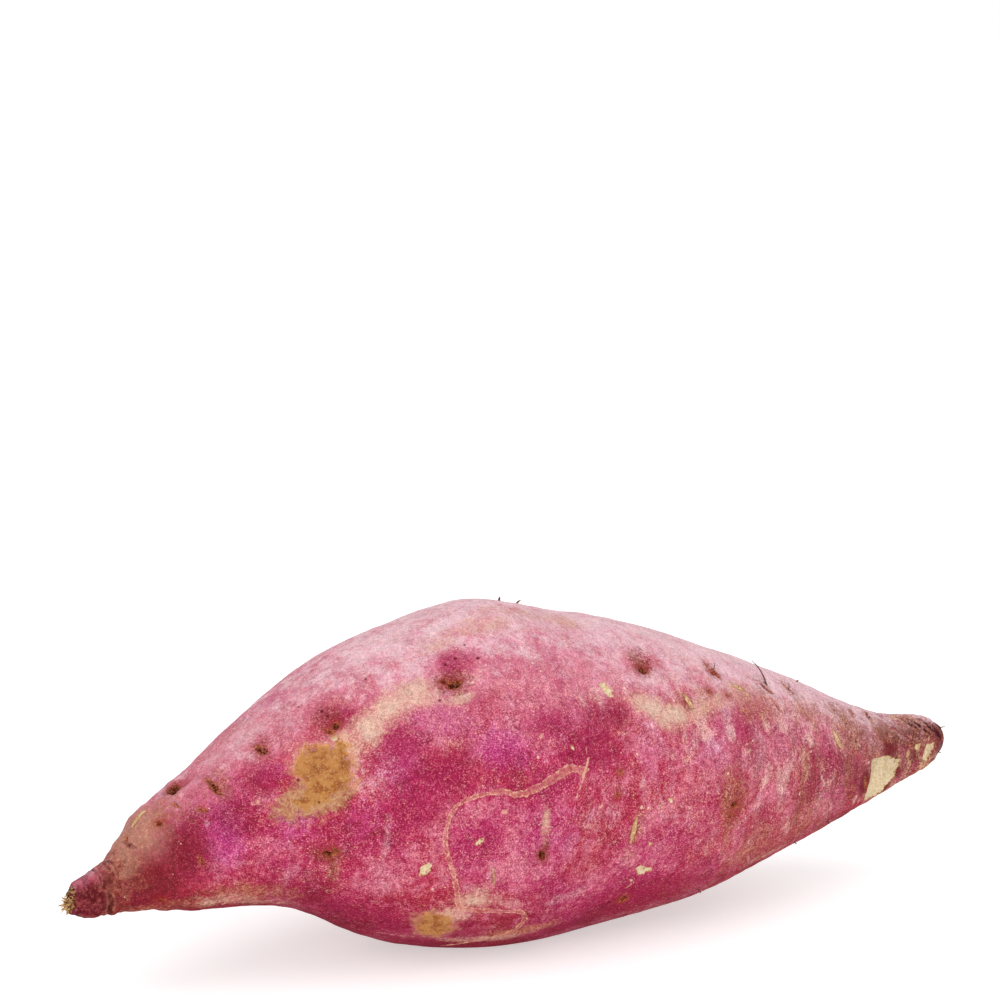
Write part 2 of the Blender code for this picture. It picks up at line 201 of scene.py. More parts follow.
DUSTY_STAINS = (
    (0.277, 67, 5.0, 5.5, 0.50, 10), (0.262, 62, 1.6, 4.0, 0.60), (0.490, 21, 8.0, 3.2, 0.75, 8),
    (0.525, 22, 7.0, 2.4, 0.60, 12), (0.590, 75, 3.4, 2.2, 0.45, 10), (0.477, 125, 6.0, 1.3, 0.65, -10),
    (0.505, 98, 2.0, 4.5, 0.45), (0.437, 89, 0.9, 3.6, 0.35, -12), (0.387, 111, 1.0, 4.0, 0.60, -6),
    (0.372, 117, 3.6, 2.0, 0.60), (0.202, 90, 1.2, 6.0, 0.40), (0.285, 96, 1.0, 5.5, 0.45, 4),
    (0.600, 96, 5.0, 5.0, 0.35), (0.690, 78, 4.5, 5.0, 0.40), (0.742, 84, 3.5, 6.5, 0.45),
    (0.213, 116, 5.0, 3.4, 0.30), (0.288, 116, 5.0, 3.0, 0.45), (0.545, 44, 9.0, 4.0, 0.55),
    (0.708, 70, 1.8, 6.5, 0.75, 6), (0.735, 84, 2.0, 7.0, 0.50, 4), (0.500, 94, 6.0, 3.4, 0.45),
    (0.560, 24, 12.0, 3.4, 0.55, 8), (0.640, 22, 12.0, 3.4, 0.55, 5), (0.720, 20, 12.0, 3.0, 0.60, 5),
    (0.800, 22, 12.0, 3.6, 0.60, 5), (0.300, 15, 14.0, 4.5, 0.55), (0.200, 20, 10.0, 4.5, 0.50),
    (0.350, 262, 6.0, 5.0, 0.50, 30), (0.520, 290, 8.0, 5.0, 0.55, -20), (0.660, 232, 6.0, 5.0, 0.45, 10),
    (0.250, 250, 5.0, 6.0, 0.45),
)
VIOLET_STAINS = (
    (0.395, 66, 7.0, 5.0, 0.80, 20), (0.415, 72, 3.0, 3.0, 0.70), (0.300, 66, 5.5, 7.0, 0.55, 10),
    (0.355, 54, 9.0, 4.0, 0.55, 15), (0.145, 76, 4.0, 7.0, 0.65), (0.205, 84, 5.0, 5.0, 0.60),
    (0.268, 88, 6.0, 6.0, 0.55), (0.195, 50, 4.0, 3.0, 0.50), (0.455, 98, 9.0, 7.0, 0.45),
    (0.560, 72, 9.0, 4.0, 0.35, 10), (0.640, 70, 6.0, 4.0, 0.40), (0.300, 240, 9.0, 7.0, 0.60, 20),
    (0.470, 228, 9.0, 8.0, 0.55, -10), (0.560, 275, 8.0, 6.0, 0.60, 10), (0.400, 312, 8.0, 6.0, 0.40),
    (0.180, 262, 6.0, 7.0, 0.60),
)
BROWN_STAINS = (
    (0.372, 40, 4.0, 3.0, 0.85), (0.252, 38, 3.0, 3.6, 0.60), (0.191, 31, 2.6, 3.6, 0.65, 10),
    (0.584, 35, 3.0, 4.0, 0.75, 15), (0.677, 31, 2.6, 3.2, 0.60, 10), (0.741, 33, 3.0, 3.4, 0.50, 10),
    (0.780, 28, 2.6, 3.0, 0.50, 10), (0.238, 106, 3.6, 2.4, 0.70), (0.243, 117, 1.0, 3.6, 0.45, -14),
    (0.437, 104, 1.6, 2.6, 0.70), (0.666, 96, 3.0, 4.5, 0.55, 10), (0.545, 99, 1.1, 4.6, 0.50, 16),
    (0.551, 133, 2.4, 2.0, 0.50), (0.624, 52, 2.0, 2.4, 0.60), (0.116, 2, 2.6, 3.0, 0.55),
    (0.120, 50, 3.0, 3.0, 0.45), (0.240, 78, 4.0, 2.0, 0.55), (0.700, 110, 7.0, 5.0, 0.35),
    (0.701, 74, 3.0, 5.0, 0.45), (0.780, 96, 6.0, 6.0, 0.45), (0.830, 92, 6.0, 5.0, 0.50),
    (0.850, 40, 5.0, 5.0, 0.45), (0.850, 62, 7.0, 4.0, 0.50), (0.455, 268, 4.8, 3.0, 0.75),
    (0.305, 318, 4.0, 3.0, 0.70), (0.225, 232, 3.6, 3.0, 0.65), (0.655, 290, 3.6, 2.8, 0.65),
    (0.610, 212, 3.6, 2.8, 0.65), (0.145, 285, 3.0, 3.0, 0.60), (0.520, 330, 3.2, 2.6, 0.55),
    (0.760, 240, 3.0, 2.6, 0.60),
)
DEEP_STAINS = (
    (0.306, 58, 5.5, 5.0, 0.75), (0.338, 72, 8.0, 5.0, 0.80), (0.307, 84, 6.0, 3.4, 0.85),
    (0.400, 72, 5.5, 3.6, 0.60), (0.493, 69, 7.5, 5.0, 0.80), (0.523, 58, 5.0, 3.4, 0.75),
    (0.455, 62, 6.0, 3.0, 0.55), (0.158, 68, 6.0, 4.4, 0.60), (0.104, 75, 5.4, 6.0, 0.80),
    (0.074, 100, 6.4, 5.0, 0.95), (0.045, 100, 5.0, 5.0, 0.85), (0.186, 52, 4.6, 3.4, 0.70),
    (0.262, 38, 4.4, 2.6, 0.85, 15), (0.380, 32, 3.6, 2.8, 0.85), (0.246, 92, 5.0, 4.0, 0.60),
    # The long rows low on the front, round 128 to 155, paint the shade along the lower edge.
    (0.300, 140, 16.0, 4.0, 0.70), (0.568, 133, 16.0, 6.0, 0.80), (0.500, 143, 10.0, 3.0, 0.60),
    (0.620, 128, 12.0, 5.0, 0.45), (0.380, 154, 14.0, 5.0, 0.75), (0.430, 80, 13.0, 5.5, 0.42, 8),
    (0.700, 66, 4.0, 3.0, 0.55), (0.780, 84, 1.8, 6.5, 0.95), (0.766, 100, 1.5, 5.0, 0.80),
    (0.701, 57, 4.5, 6.0, 0.70), (0.676, 84, 2.6, 9.0, 0.55, 5), (0.845, 98, 2.4, 6.4, 0.90),
    (0.662, 92, 4.2, 6.5, 0.40), (0.812, 78, 3.0, 4.6, 0.50), (0.866, 106, 2.2, 3.0, 1.10),
    (0.901, 128, 2.2, 1.8, 1.10), (0.905, 72, 2.4, 2.2, 0.90), (0.942, 92, 2.0, 2.0, 0.70),
    (0.915, 91, 1.3, 1.6, 0.90), (0.920, 109, 1.5, 2.0, 0.75), (0.985, 120, 3.0, 6.0, 0.70),
    (0.381, 48, 5.0, 2.6, 0.35), (0.372, 98, 4.0, 3.6, 0.35), (0.615, 110, 7.0, 5.0, 0.35),
    (0.330, 232, 10.0, 6.0, 0.80, 15), (0.480, 262, 9.0, 5.0, 0.85, -10), (0.610, 236, 9.0, 5.0, 0.70),
    (0.220, 262, 6.0, 6.0, 0.60), (0.105, 262, 6.0, 7.0, 0.85), (0.740, 262, 3.0, 8.0, 0.75),
    (0.820, 240, 3.0, 7.0, 0.80), (0.455, 300, 5.0, 3.4, 0.60), (0.610, 312, 6.0, 3.4, 0.55),
)
OCHRE_STAINS = (
    (0.052, 12, 4.5, 6.5, 0.95), (0.072, 22, 6.0, 5.5, 0.90), (0.096, 24, 5.0, 4.0, 0.65),
    (0.046, 52, 2.2, 5.0, 0.80), (0.062, -30, 5.0, 6.0, 0.80), (0.060, -4, 6.0, 3.0, 0.90),
    (0.070, 160, 9.0, 4.0, 0.70), (0.039, 100, 1.2, 8.0, 0.70), (0.170, 132, 10.0, 3.4, 0.70),
    (0.118, 138, 8.0, 2.6, 0.60), (0.148, 34, 4.0, 4.0, 0.45), (0.850, 52, 7.0, 6.0, 0.70),
    (0.905, 55, 5.0, 4.6, 0.85), (0.945, 40, 6.0, 6.0, 0.80), (0.960, 110, 4.0, 5.0, 0.45),
    (0.880, 76, 4.0, 3.0, 0.65), (0.640, 52, 10.0, 3.6, 0.55), (0.720, 47, 9.0, 4.6, 0.60),
    (0.790, 45, 8.0, 4.6, 0.60), (0.768, 88, 1.0, 6.5, 0.90, 4), (0.657, 94, 1.6, 6.5, 0.80),
    (0.663, 112, 1.4, 5.5, 0.70), (0.438, 95, 0.9, 5.5, 0.75), (0.835, 96, 1.3, 5.5, 0.60),
    (0.668, 92, 3.4, 6.5, 0.65), (0.545, 100, 1.6, 4.2, 0.65), (0.540, 110, 2.2, 2.0, 0.45),
    (0.700, 122, 8.0, 5.0, 0.50), (0.780, 118, 8.0, 5.0, 0.45), (0.243, 114, 1.3, 3.2, 0.75),
    (0.440, 141, 7.0, 1.7, 1.10, -6), (0.060, 262, 5.0, 8.0, 0.60), (0.180, 222, 9.0, 4.0, 0.60),
    (0.700, 300, 9.0, 5.0, 0.55), (0.800, 292, 8.0, 5.0, 0.55), (0.910, 262, 6.0, 7.0, 0.75),
    (0.620, 214, 8.0, 4.0, 0.50),
)

STAINS = {
    "beige": BEIGE_STAINS,  # scuffs
    "dusty": DUSTY_STAINS,  # bloom
    "violet": VIOLET_STAINS,
    "brown": BROWN_STAINS,  # round the eyes
    # The deep stains also paint the shade along the lower front edge.
    "deep": DEEP_STAINS,  # dark crimson to maroon
    "ochre": OCHRE_STAINS,  # tan, weathered skin
}

# Cross creases in the skin: share, skew along in mm, angles they run between, width, depth.
CREASES = (
    (0.030, 0.4, -60, 70, 0.26, 0.16), (0.040, 0.5, -50, 48, 0.24, 0.22),
    (0.044, 0.8, -30, 58, 0.24, 0.20), (0.040, 0.5, 72, 180, 0.70, 0.34),
    (0.062, 0.9, 2, 50, 0.36, 0.26), (0.040, -0.5, 200, 320, 0.30, 0.22),
    (0.060, 0.7, 190, 300, 0.30, 0.16), (0.082, -0.6, 230, 310, 0.30, 0.14),
    (0.894, 1.0, 8, 34, 0.40, 0.22), (0.944, 2.2, 0, 50, 0.90, 0.50), (0.956, 2.6, 2, 64, 1.10, 0.65),
    (0.968, 2.6, 0, 74, 0.90, 0.60), (0.979, 2.0, 6, 90, 1.00, 0.65), (0.989, 1.0, -10, 84, 0.80, 0.45),
    (0.940, 1.4, 180, 330, 0.34, 0.26), (0.960, 1.8, 170, 320, 0.34, 0.32),
    (0.975, 1.8, 190, 330, 0.30, 0.30),
)

# Ring-shaped breathing pores: place and radius.
RING_PORES = (
    (0.456, 30, 0.65), (0.356, 62, 0.60), (0.441, 66, 0.60), (0.174, 63, 0.65), (0.690, 70, 0.90),
    (0.395, 88, 0.45), (0.515, 18, 0.80), (0.430, 232, 0.60), (0.580, 322, 0.70), (0.350, 300, 0.60),
    (0.690, 275, 0.70),
)

PIT_RIM = 0.16  # height of the low wall round a pit
DOT_DEPTH = 0.20
LENS_DEPTH = 0.10
SCAR_HEIGHT = 0.10
SCRATCH_HEIGHT = 0.06
RING_HEIGHT = 0.07
RING_HALF = 0.16  # half the width of a ring pore's wall
STRIP_REACH = 4.0
CORK_REACH = 10.0
TAN_REACH = 16.0
FAR = 9.0  # the distance kept where no mark is near

# How each kind of mark goes into the skin, by the distance from its edge: how ragged the edge is in small and
# in large, where the change starts and where it is full, then the height, place and width of the rim.
PROFILES = {
    "dot": (0.0, 0.0, 0.25, -0.25, 0.0, 0.0, 1.0),
    "slit": (0.15, 0.0, 0.25, -0.45, 0.18, 0.45, 0.35),
    "flesh": (0.14, 0.0, 0.15, -0.20, 0.06, 0.3, 0.2),
    "lens": (0.12, 0.0, 0.0, -0.4, 0.10, 0.0, 0.25),
    "cork": (0.55, 0.8, 0.4, -0.5, 0.0, 0.0, 1.0),
    "tan": (0.5, 0.5, 0.5, -0.8, 0.0, 0.0, 1.0),
    "scar": (0.22, 0.0, 0.25, -0.15, 0.07, -0.08, 0.18),
    "scratch": (0.08, 0.0, 0.2, -0.1, 0.0, 0.0, 1.0),
    "ring": (0.0, 0.0, 0.25, -0.1, 0.0, 0.0, 1.0),
}


def smoothstep(low, high, value):
    t = np.clip((value - low) / (high - low), 0, 1)
    return t * t * (3 - 2 * t)


def bell(value, middle, width):
    """1 at the middle, falling to 0 on both sides."""
    return np.exp(-(((value - middle) / width) ** 2))


# ---------------------------------------------------------------- the smooth body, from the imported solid


def quad_body(cad):
    """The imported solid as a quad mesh."""
    shape = bmesh.new()
    shape.from_mesh(cad.data)
    bmesh.ops.remove_doubles(shape, verts=shape.verts, dist=1e-6)
    bmesh.ops.join_triangles(
        shape, faces=shape.faces, angle_face_threshold=math.pi, angle_shape_threshold=math.pi
    )
    mesh = bpy.data.meshes.new("body_cage")
    shape.to_mesh(mesh)
    shape.free()
    return mesh


def subdivided(mesh, levels):
    """(points, triangles) of the cage after some levels of Catmull-Clark."""
    cage = bpy.data.objects.new("body_cage", mesh)
    bpy.context.scene.collection.objects.link(cage)
    smooth = cage.modifiers.new("smooth", "SUBSURF")
    smooth.levels = smooth.render_levels = levels
    result = cage.evaluated_get(bpy.context.evaluated_depsgraph_get()).to_mesh()
    result.calc_loop_triangles()
    points = np.empty(len(result.vertices) * 3)
    result.vertices.foreach_get("co", points)
    triangles = np.empty(len(result.loop_triangles) * 3, np.int64)
    result.loop_triangles.foreach_get("vertices", triangles)
    bpy.data.objects.remove(cage)
    return points.reshape(-1, 3), triangles.reshape(-1, 3)


class Body:
    """The smooth body: finds the skin at a place, and the nearest skin to a point."""

    END_MARGIN = 0.0015
    SLICE_HALF = 0.0012
    RAY_START = 0.1

    def __init__(self, mesh):
        self.points, triangles = subdivided(mesh, 2)
        self.tree = BVHTree.FromPolygons(self.points.tolist(), triangles.tolist())

    def middle(self, share):
        """A point of the middle line."""
        x = CAD_LOW.x + share * LENGTH
        x = min(max(x, CAD_LOW.x + self.END_MARGIN), CAD_HIGH.x - self.END_MARGIN)
        near = self.points[np.abs(self.points[:, 0] - x) < self.SLICE_HALF]
        low, high = near.min(axis=0), near.max(axis=0)
        return Vector((x, 0.5 * (low[1] + high[1]), 0.5 * (low[2] + high[2])))

    def place(self, share, angle):
        """The point of the skin at a place, and its outward direction."""
        turn = math.radians(angle)
        start = self.middle(share)
        away = Vector((0, -FLATTENING * math.sin(turn), math.cos(turn))).normalized()
        hit, normal, _, _ = self.tree.ray_cast(start + away * self.RAY_START, -away)
        return hit, normal

    def frame(self, share, angle):
        """A place with its directions: along towards the root tip, round (from the top to the front), out."""
        hit, out = self.place(share, angle)
        x = Vector((1, 0, 0))
        along = (x - out * x.dot(out)).normalized()
        return np.array(hit), np.array(along), np.array(along.cross(out)), np.array(out)

    def onto(self, points):
        """The nearest points of the smooth body, with its directions there."""
        found = [self.tree.find_nearest(Vector(p)) for p in points]
        return np.array([f[0] for f in found]), np.array([f[1] for f in found])

    def angles(self, points):
        """The angle round the middle line of each point, in degrees from the top towards the front."""
        middles = np.array([self.middle(share) for share in np.linspace(0, 1, 80)])
        y = points[:, 1] - np.interp(points[:, 0], middles[:, 0], middles[:, 1])
        z = points[:, 2] - np.interp(points[:, 0], middles[:, 0], middles[:, 2])
        return np.degrees(np.arctan2(-y / FLATTENING, z)) % 360


# ---------------------------------------------------------------- a mesh, finer where it is asked to be


def split_triangles(points, triangles, too_long):
    """Splits each too long edge in two, and each triangle into the 2, 3 or 4 that its split edges make."""
    ends = np.sort(triangles[:, [[0, 1], [1, 2], [2, 0]]].reshape(-1, 2), axis=1)
    edges, index = np.unique(ends, axis=0, return_inverse=True)
    index = index.reshape(-1, 3)
    middles = points[edges].mean(axis=1)
    lengths = np.linalg.norm(points[edges[:, 0]] - points[edges[:, 1]], axis=1)
    split = too_long(middles, lengths)
    number = np.full(len(edges), -1)
    number[split] = len(points) + np.arange(split.sum())
    mids = number[index]
    count = (mids >= 0).sum(axis=1)
    made = [triangles[count == 0]]
    for turn in range(3):
        corner = np.roll(triangles, -turn, axis=1)
        mid = np.roll(mids, -turn, axis=1)
        one = (count == 1) & (mid[:, 0] >= 0)
        a, b, c = corner[one].T
        m = mid[one, 0]
        made += [np.stack([a, m, c], 1), np.stack([m, b, c], 1)]
        two = (count == 2) & (mid[:, 2] < 0)
        a, b, c = corner[two].T
        m, n = mid[two, 0], mid[two, 1]
        made += [np.stack([m, b, n], 1), np.stack([a, m, n], 1), np.stack([a, n, c], 1)]
    four = count == 3
    a, b, c = triangles[four].T
    m, n, o = mids[four].T
    made += [np.stack(t, 1) for t in ((a, m, o), (m, b, n), (o, n, c), (m, n, o))]
    return np.concatenate([points, middles[split]]), np.concatenate(made)


def edge_wanted(marks):
    """A function of (middles, lengths) that says which edges are too long for the marks near them."""
    tree = KDTree(len(marks))
    for number, (middle, _) in enumerate(marks):
        tree.insert(Vector(middle), number)
    tree.balance()
    underside = 0.012
    slack = 1.4

    def too_long(middles, lengths):
        share = (middles[:, 0] - CAD_LOW.x) / LENGTH
        wanted = np.where(middles[:, 2] < underside, UNDER_EDGE, PLAIN_EDGE)
        wanted[(share < NECK_END) | (share > TIP_START)] = END_EDGE
        wanted[(share < STUB_END) | (share > BARK_START)] = TIP_EDGE
        found = [tree.find(Vector(p)) for p in middles]
        beyond = np.array([1000 * f[2] - marks[f[1]][1] for f in found])
        wanted = np.minimum(wanted, FINE_EDGE + EDGE_GROWTH * np.clip(beyond, 0, FAR))
        return lengths * 1000 > slack * wanted

    return too_long


def mark_reaches(body):
    """The places that need a fine mesh, each with its reach in millimetres."""
    marks = [(body.place(s, a)[0], 0.6 * max(length, width)) for s, a, length, width, *_ in PITS]
    marks += [(body.place(s, a)[0], 0.4) for s, a, _ in DOTS]
    for s, a, s2, a2, width, *_ in SLITS + LENSES:
        first, last = body.place(s, a)[0], body.place(s2, a2)[0]
        marks += [(first.lerp(last, t), 0.7 * width) for t in (0.0, 0.25, 0.5, 0.75, 1.0)]
    for s, a, outline in FLESH_PATCHES:
        middle, along, around, _ = body.frame(s, a)
        for (ax, ay), (bx, by) in zip(outline, outline[1:] + outline[:1]):
            for t in np.linspace(0, 1, 5):
                u, v = ax + t * (bx - ax), ay + t * (by - ay)
                marks.append((Vector(middle + (u * along + v * around) * MM), 0.3))
    marks += [(Vector(knot[:3]), 0.5) for knot in smooth_path(body, SCAR_PATH, 4)]
    marks.append((body.middle(0.0), 6.0))
    return marks


# ---------------------------------------------------------------- measures over the skin, in millimetres


def noise_field(points_mm, size, detail=1, seed=0.0, across=1.0):
    """Smooth noise from -1 to 1, with features of this size; across below 1 draws them out round."""
    shift = Vector((seed, 1.7 * seed, -2.3 * seed))
    scaled = points_mm * np.array((1.0, across, across)) / size
    total = np.zeros(len(points_mm))
    for octave in range(detail):
        gain = 2.0**octave
        total += np.array([noise.noise(Vector(p) * gain + shift) for p in scaled]) / gain
    return total


class Skin:
    """The fine skin: its points, and distances and heights kept for each of them."""

    def __init__(self, points, directions):
        self.points = points
        self.mm = points * 1000
        self.out = directions
        self.height = np.zeros(len(points))
        self.rough = noise_field(self.mm, 0.8, 2, seed=3.0)
        self.coarse = noise_field(self.mm, 2.6, 1, seed=5.0)
        self.fields = {}

    def local(self, place, reach):
        """The points within reach of a place, as (index, along, round) in its own directions."""
        middle, along, around, out = place
        offset = (self.points - middle) * 1000
        near = (np.linalg.norm(offset, axis=1) < reach) & (self.out @ out > 0.2)
        index = np.nonzero(near)[0]
        return index, offset[index] @ along, offset[index] @ around

    def lower(self, name, index, distance):
        """Keeps the least distance to any mark of this kind."""
        field = self.fields.setdefault(name, np.full(len(self.points), FAR))
        field[index] = np.minimum(field[index], distance)

    def raise_to(self, name, index, strength):
        field = self.fields.setdefault(name, np.zeros(len(self.points)))
        field[index] = np.maximum(field[index], strength)

    def press(self, index, distance, depth, start, full, rim, rim_at, rim_width):
        """Sinks the skin by depth where the distance goes from start to full, with a rim round it."""
        self.height[index] -= depth * smoothstep(start, full, distance)
        self.height[index] += rim * bell(distance, rim_at, rim_width)

    def mark(self, name, index, distance, depth):
        """Presses (or, with depth below 0, raises) one mark of this kind, and keeps its distances."""
        ragged, lumpy, *profile = PROFILES[name]
        distance = distance + ragged * self.rough[index] + lumpy * self.coarse[index]
        self.press(index, distance, depth, *profile)
        self.lower(name, index, distance)


def turned(u, v, tilt):
    turn = math.radians(tilt)
    return u * math.cos(turn) + v * math.sin(turn), v * math.cos(turn) - u * math.sin(turn)


def ellipse_distance(u, v, length, width, tilt=0):
    """Millimetres outside (or, below 0, inside) an ellipse of that length and width."""
    a, b = turned(u, v, tilt)
    return (np.hypot(a / (0.5 * length), b / (0.5 * width)) - 1) * 0.25 * (length + width)


def segment_distance(u, v, start, end):
    """Distance to a segment, and where along it the nearest point is, from 0 to 1."""
    (ax, ay), (bx, by) = start, end
    run = (bx - ax) ** 2 + (by - ay) ** 2
    t = np.clip(((u - ax) * (bx - ax) + (v - ay) * (by - ay)) / run, 0, 1)
    return np.hypot(u - ax - t * (bx - ax), v - ay - t * (by - ay)), t


def outline_distance(u, v, outline):
    """Signed distance to a closed outline: below 0 inside it."""
    nearest = np.full(len(u), 1e9)
    inside = np.zeros(len(u), bool)
    for (ax, ay), (bx, by) in zip(outline, outline[1:] + outline[:1]):
        distance, _ = segment_distance(u, v, (ax, ay), (bx, by))
        nearest = np.minimum(nearest, distance)
        crosses = (ay > v) != (by > v)
        inside ^= crosses & (u < (bx - ax) * (v - ay) / (by - ay if by != ay else 1e-9) + ax)
    return np.where(inside, -nearest, nearest)


def strip(skin, body, ends, width, narrowing=True):
    """The points near a strip between two places, and their distances from its edge."""
    share, angle, other_share, other_angle = ends
    place = body.frame(share, angle)
    offset = (np.array(body.place(other_share, other_angle)[0]) - place[0]) * 1000
    end = offset @ place[1], offset @ place[2]
    index, u, v = skin.local(place, np.hypot(*end) + STRIP_REACH)
    distance, t = segment_distance(u, v, (0, 0), end)
    fullness = np.sqrt(np.clip(1 - (2 * t - 1) ** 2, 0.05, 1)) if narrowing else 1
    return index, distance - 0.5 * width * fullness


def patches(skin, body, rows, reach=None):
    """For each patch its size, the points near it, and their distances to its outline."""
    for share, angle, outline in rows:
        size = max(math.hypot(*corner) for corner in outline)
        index, u, v = skin.local(body.frame(share, angle), reach or size + 3)
        yield size, index, outline_distance(u, v, outline)


def press_pits(skin, body):
    for share, angle, length, width, depth, *tilt in PITS:
        index, u, v = skin.local(body.frame(share, angle), 3 * length + 3)
        distance = ellipse_distance(u, v, length, width, *tilt) + 0.18 * skin.rough[index]
        wall = 0.30 * min(length, width)
        crumbly = depth * (1 + 0.45 * skin.rough[index])
        skin.press(index, distance, crumbly, wall, -wall, PIT_RIM, 1.1 * wall + 0.25, 0.35)
        skin.lower("pit", index, distance + 0.12 * wall)


def add_round_marks(skin, body):
    """The dots and the ring pores."""
    for share, angle, width in DOTS:
        index, u, v = skin.local(body.frame(share, angle), STRIP_REACH)
        skin.mark("dot", index, ellipse_distance(u, v, width, width), DOT_DEPTH)
    for share, angle, radius in RING_PORES:
        index, u, v = skin.local(body.frame(share, angle), STRIP_REACH)
        skin.mark("ring", index, np.abs(np.hypot(u, v) - radius) - RING_HALF, -RING_HEIGHT)


def add_strips(skin, body):
    """The slits, the corky lenses and the scratches."""
    for *ends, width, depth in SLITS:
        skin.mark("slit", *strip(skin, body, ends, width), depth)
    for *ends, width in LENSES:
        skin.mark("lens", *strip(skin, body, ends, width), LENS_DEPTH)
    for *ends, width in SCRATCHES:
        skin.mark("scratch", *strip(skin, body, ends, width, narrowing=False), -SCRATCH_HEIGHT)


def add_patches(skin, body):
    """The bare flesh, the corky scabs and the mealy tan skin beside them."""
    for size, index, distance in patches(skin, body, FLESH_PATCHES):
        skin.mark("flesh", index, distance, min(0.35, 0.12 + 0.05 * size))
    for _, index, distance in patches(skin, body, CORK_PATCHES, CORK_REACH):
        swell = 0.16 + 0.34 * skin.rough[index] + 0.26 * skin.coarse[index]
        skin.mark("cork", index, distance, -swell)
    for _, index, distance in patches(skin, body, TAN_PATCHES, TAN_REACH):
        skin.mark("tan", index, distance, -0.08 * (1 + skin.rough[index]))


def smooth_path(body, places, steps=10):
    """Points and widths along a smooth curve through places on the skin."""
    knots = [np.array((*body.place(share, angle)[0], width)) for share, angle, width in places]
    knots = [2 * knots[0] - knots[1], *knots, 2 * knots[-1] - knots[-2]]
    made = []
    for a, b, c, d in zip(knots, knots[1:], knots[2:], knots[3:]):
        for t in np.arange(steps) / steps:
            bend = (2 * a - 5 * b + 4 * c - d) * t**2 + (3 * b - a - 3 * c + d) * t**3
            made.append(0.5 * (2 * b + (c - a) * t + bend))
    return np.array(made)


def raise_scar(skin, body, places):
    """The low double ridge that a root or a feeding grub left in the skin."""
    path = smooth_path(body, places)
    tree = KDTree(len(path))
    for number, knot in enumerate(path):
        tree.insert(Vector(knot[:3]), number)
    tree.balance()
    spare = STRIP_REACH * MM
    low, high = path[:, :3].min(axis=0) - spare, path[:, :3].max(axis=0) + spare
    index = np.nonzero(((skin.points > low) & (skin.points < high)).all(axis=1))[0]
    found = [tree.find(Vector(p)) for p in skin.points[index]]
    distance = np.array([f[2] for f in found]) * 1000
    half = 0.5 * SCAR_FULLNESS * path[[f[1] for f in found], 3]
    skin.mark("scar", index, distance - half, -SCAR_HEIGHT)


def stain(skin, body, name, stains):
    for share, angle, along, around, strength, *tilt in stains:
        index, u, v = skin.local(body.frame(share, angle), 2.6 * max(along, around))
        a, b = turned(u, v, *(tilt or [0]))
        fading = ((a / along) ** 2 + (b / around) ** 2) ** 1.5
        skin.raise_to(name, index, strength * np.exp(-0.7 * fading))


def wrinkle(skin, share):
    """Cross wrinkles, strongest at the neck and the root tip, and slow lumps everywhere."""
    ends = np.maximum(smoothstep(0.20, 0.03, share), smoothstep(0.80, 0.97, share))
    lines = noise_field(skin.mm, 1.1, 2, seed=11.0, across=0.22)
    broad = noise_field(skin.mm, 3.4, 1, seed=23.0, across=0.35)
    skin.height += lines * (0.04 + 0.16 * ends) + broad * (0.05 + 0.15 * ends)
    skin.height += 0.10 * skin.coarse + 0.18 * noise_field(skin.mm, 9.0, 1, seed=31.0)


def press_creases(skin, share, angle):
    """Sharp cross creases, fading out at both ends."""
    for place, skew, start, end, width, depth in CREASES:
        middle, half = 0.5 * (start + end), 0.5 * (end - start)
        t = ((angle - middle + 180) % 360 - 180) / half
        fade = np.sqrt(np.clip(1 - t * t, 0, 1))
        off = (share - place) * LENGTH * 1000 - skew * t - 0.45 * skin.coarse
        distance = np.abs(off) - 0.5 * width * fade
        index = np.nonzero((fade > 0) & (distance < 3))[0]
        gap, sunk = distance[index], depth * fade[index]
        skin.press(index, gap, sunk, 0.30, -0.20, 0.2 * sunk, 0.55, 0.40)
        skin.lower("crease", index, gap + 0.4 * (1 - fade[index]))


def linked(name, mesh):
    mesh.shade_smooth()
    piece = bpy.data.objects.new(name, mesh)
    bpy.context.scene.collection.objects.link(piece)
    return piece


def mesh_from(name, points, triangles, fields):
    mesh = bpy.data.meshes.new(name)
    mesh.from_pydata(points.tolist(), [], triangles.tolist())
    for field, values in fields.items():
        attribute = mesh.attributes.new(field, "FLOAT", "POINT")
        attribute.data.foreach_set("value", values.astype(np.float32))
    mesh.update()
    return linked(name, mesh)


def build_skin():
    cage = quad_body(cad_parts[NODE])
    body = Body(cage)
    points, triangles = subdivided(cage, 1)
    too_long = edge_wanted(mark_reaches(body))
    for _ in range(REFINE_ROUNDS):
        points, triangles = split_triangles(points, triangles, too_long)
    points, directions = body.onto(points)
    skin = Skin(points, directions)
    share = (points[:, 0] - CAD_LOW.x) / LENGTH
    wrinkle(skin, share)
    press_creases(skin, share, body.angles(points))
    for add in (press_pits, add_strips, add_round_marks, add_patches):
        add(skin, body)
    for path in (SCAR_PATH, BACK_SCAR_PATH):
        raise_scar(skin, body, path)
    for name, stains in STAINS.items():
        stain(skin, body, name, stains)
    torn = smoothstep(0.008, 0.003, share - 0.004 * directions[:, 2])
    skin.height -= torn * (0.55 + 0.25 * skin.rough)
    skin.fields.update(share=share, up=directions[:, 2], sunk=skin.height.copy())
    flat = smoothstep(0.0006, 0.0030, points[:, 2])  # the flat spot stays as it is
    moved = points + directions * (skin.height * flat * MM)[:, None]
    moved[:, 2] = np.maximum(moved[:, 2], 0.0)
    piece = mesh_from("potato_skin", moved, triangles, skin.fields)
    bpy.data.meshes.remove(cage)
    return piece, body


# ---------------------------------------------------------------- materials


def linear(hex_colour):
    """An sRGB colour such as "b33b64" as linear red, green, blue and alpha 1."""
    parts = [int(hex_colour[i : i + 2], 16) / 255 for i in (0, 2, 4)]
    return [c / 12.92 if c <= 0.04045 else ((c + 0.055) / 1.055) ** 2.4 for c in parts] + [1.0]


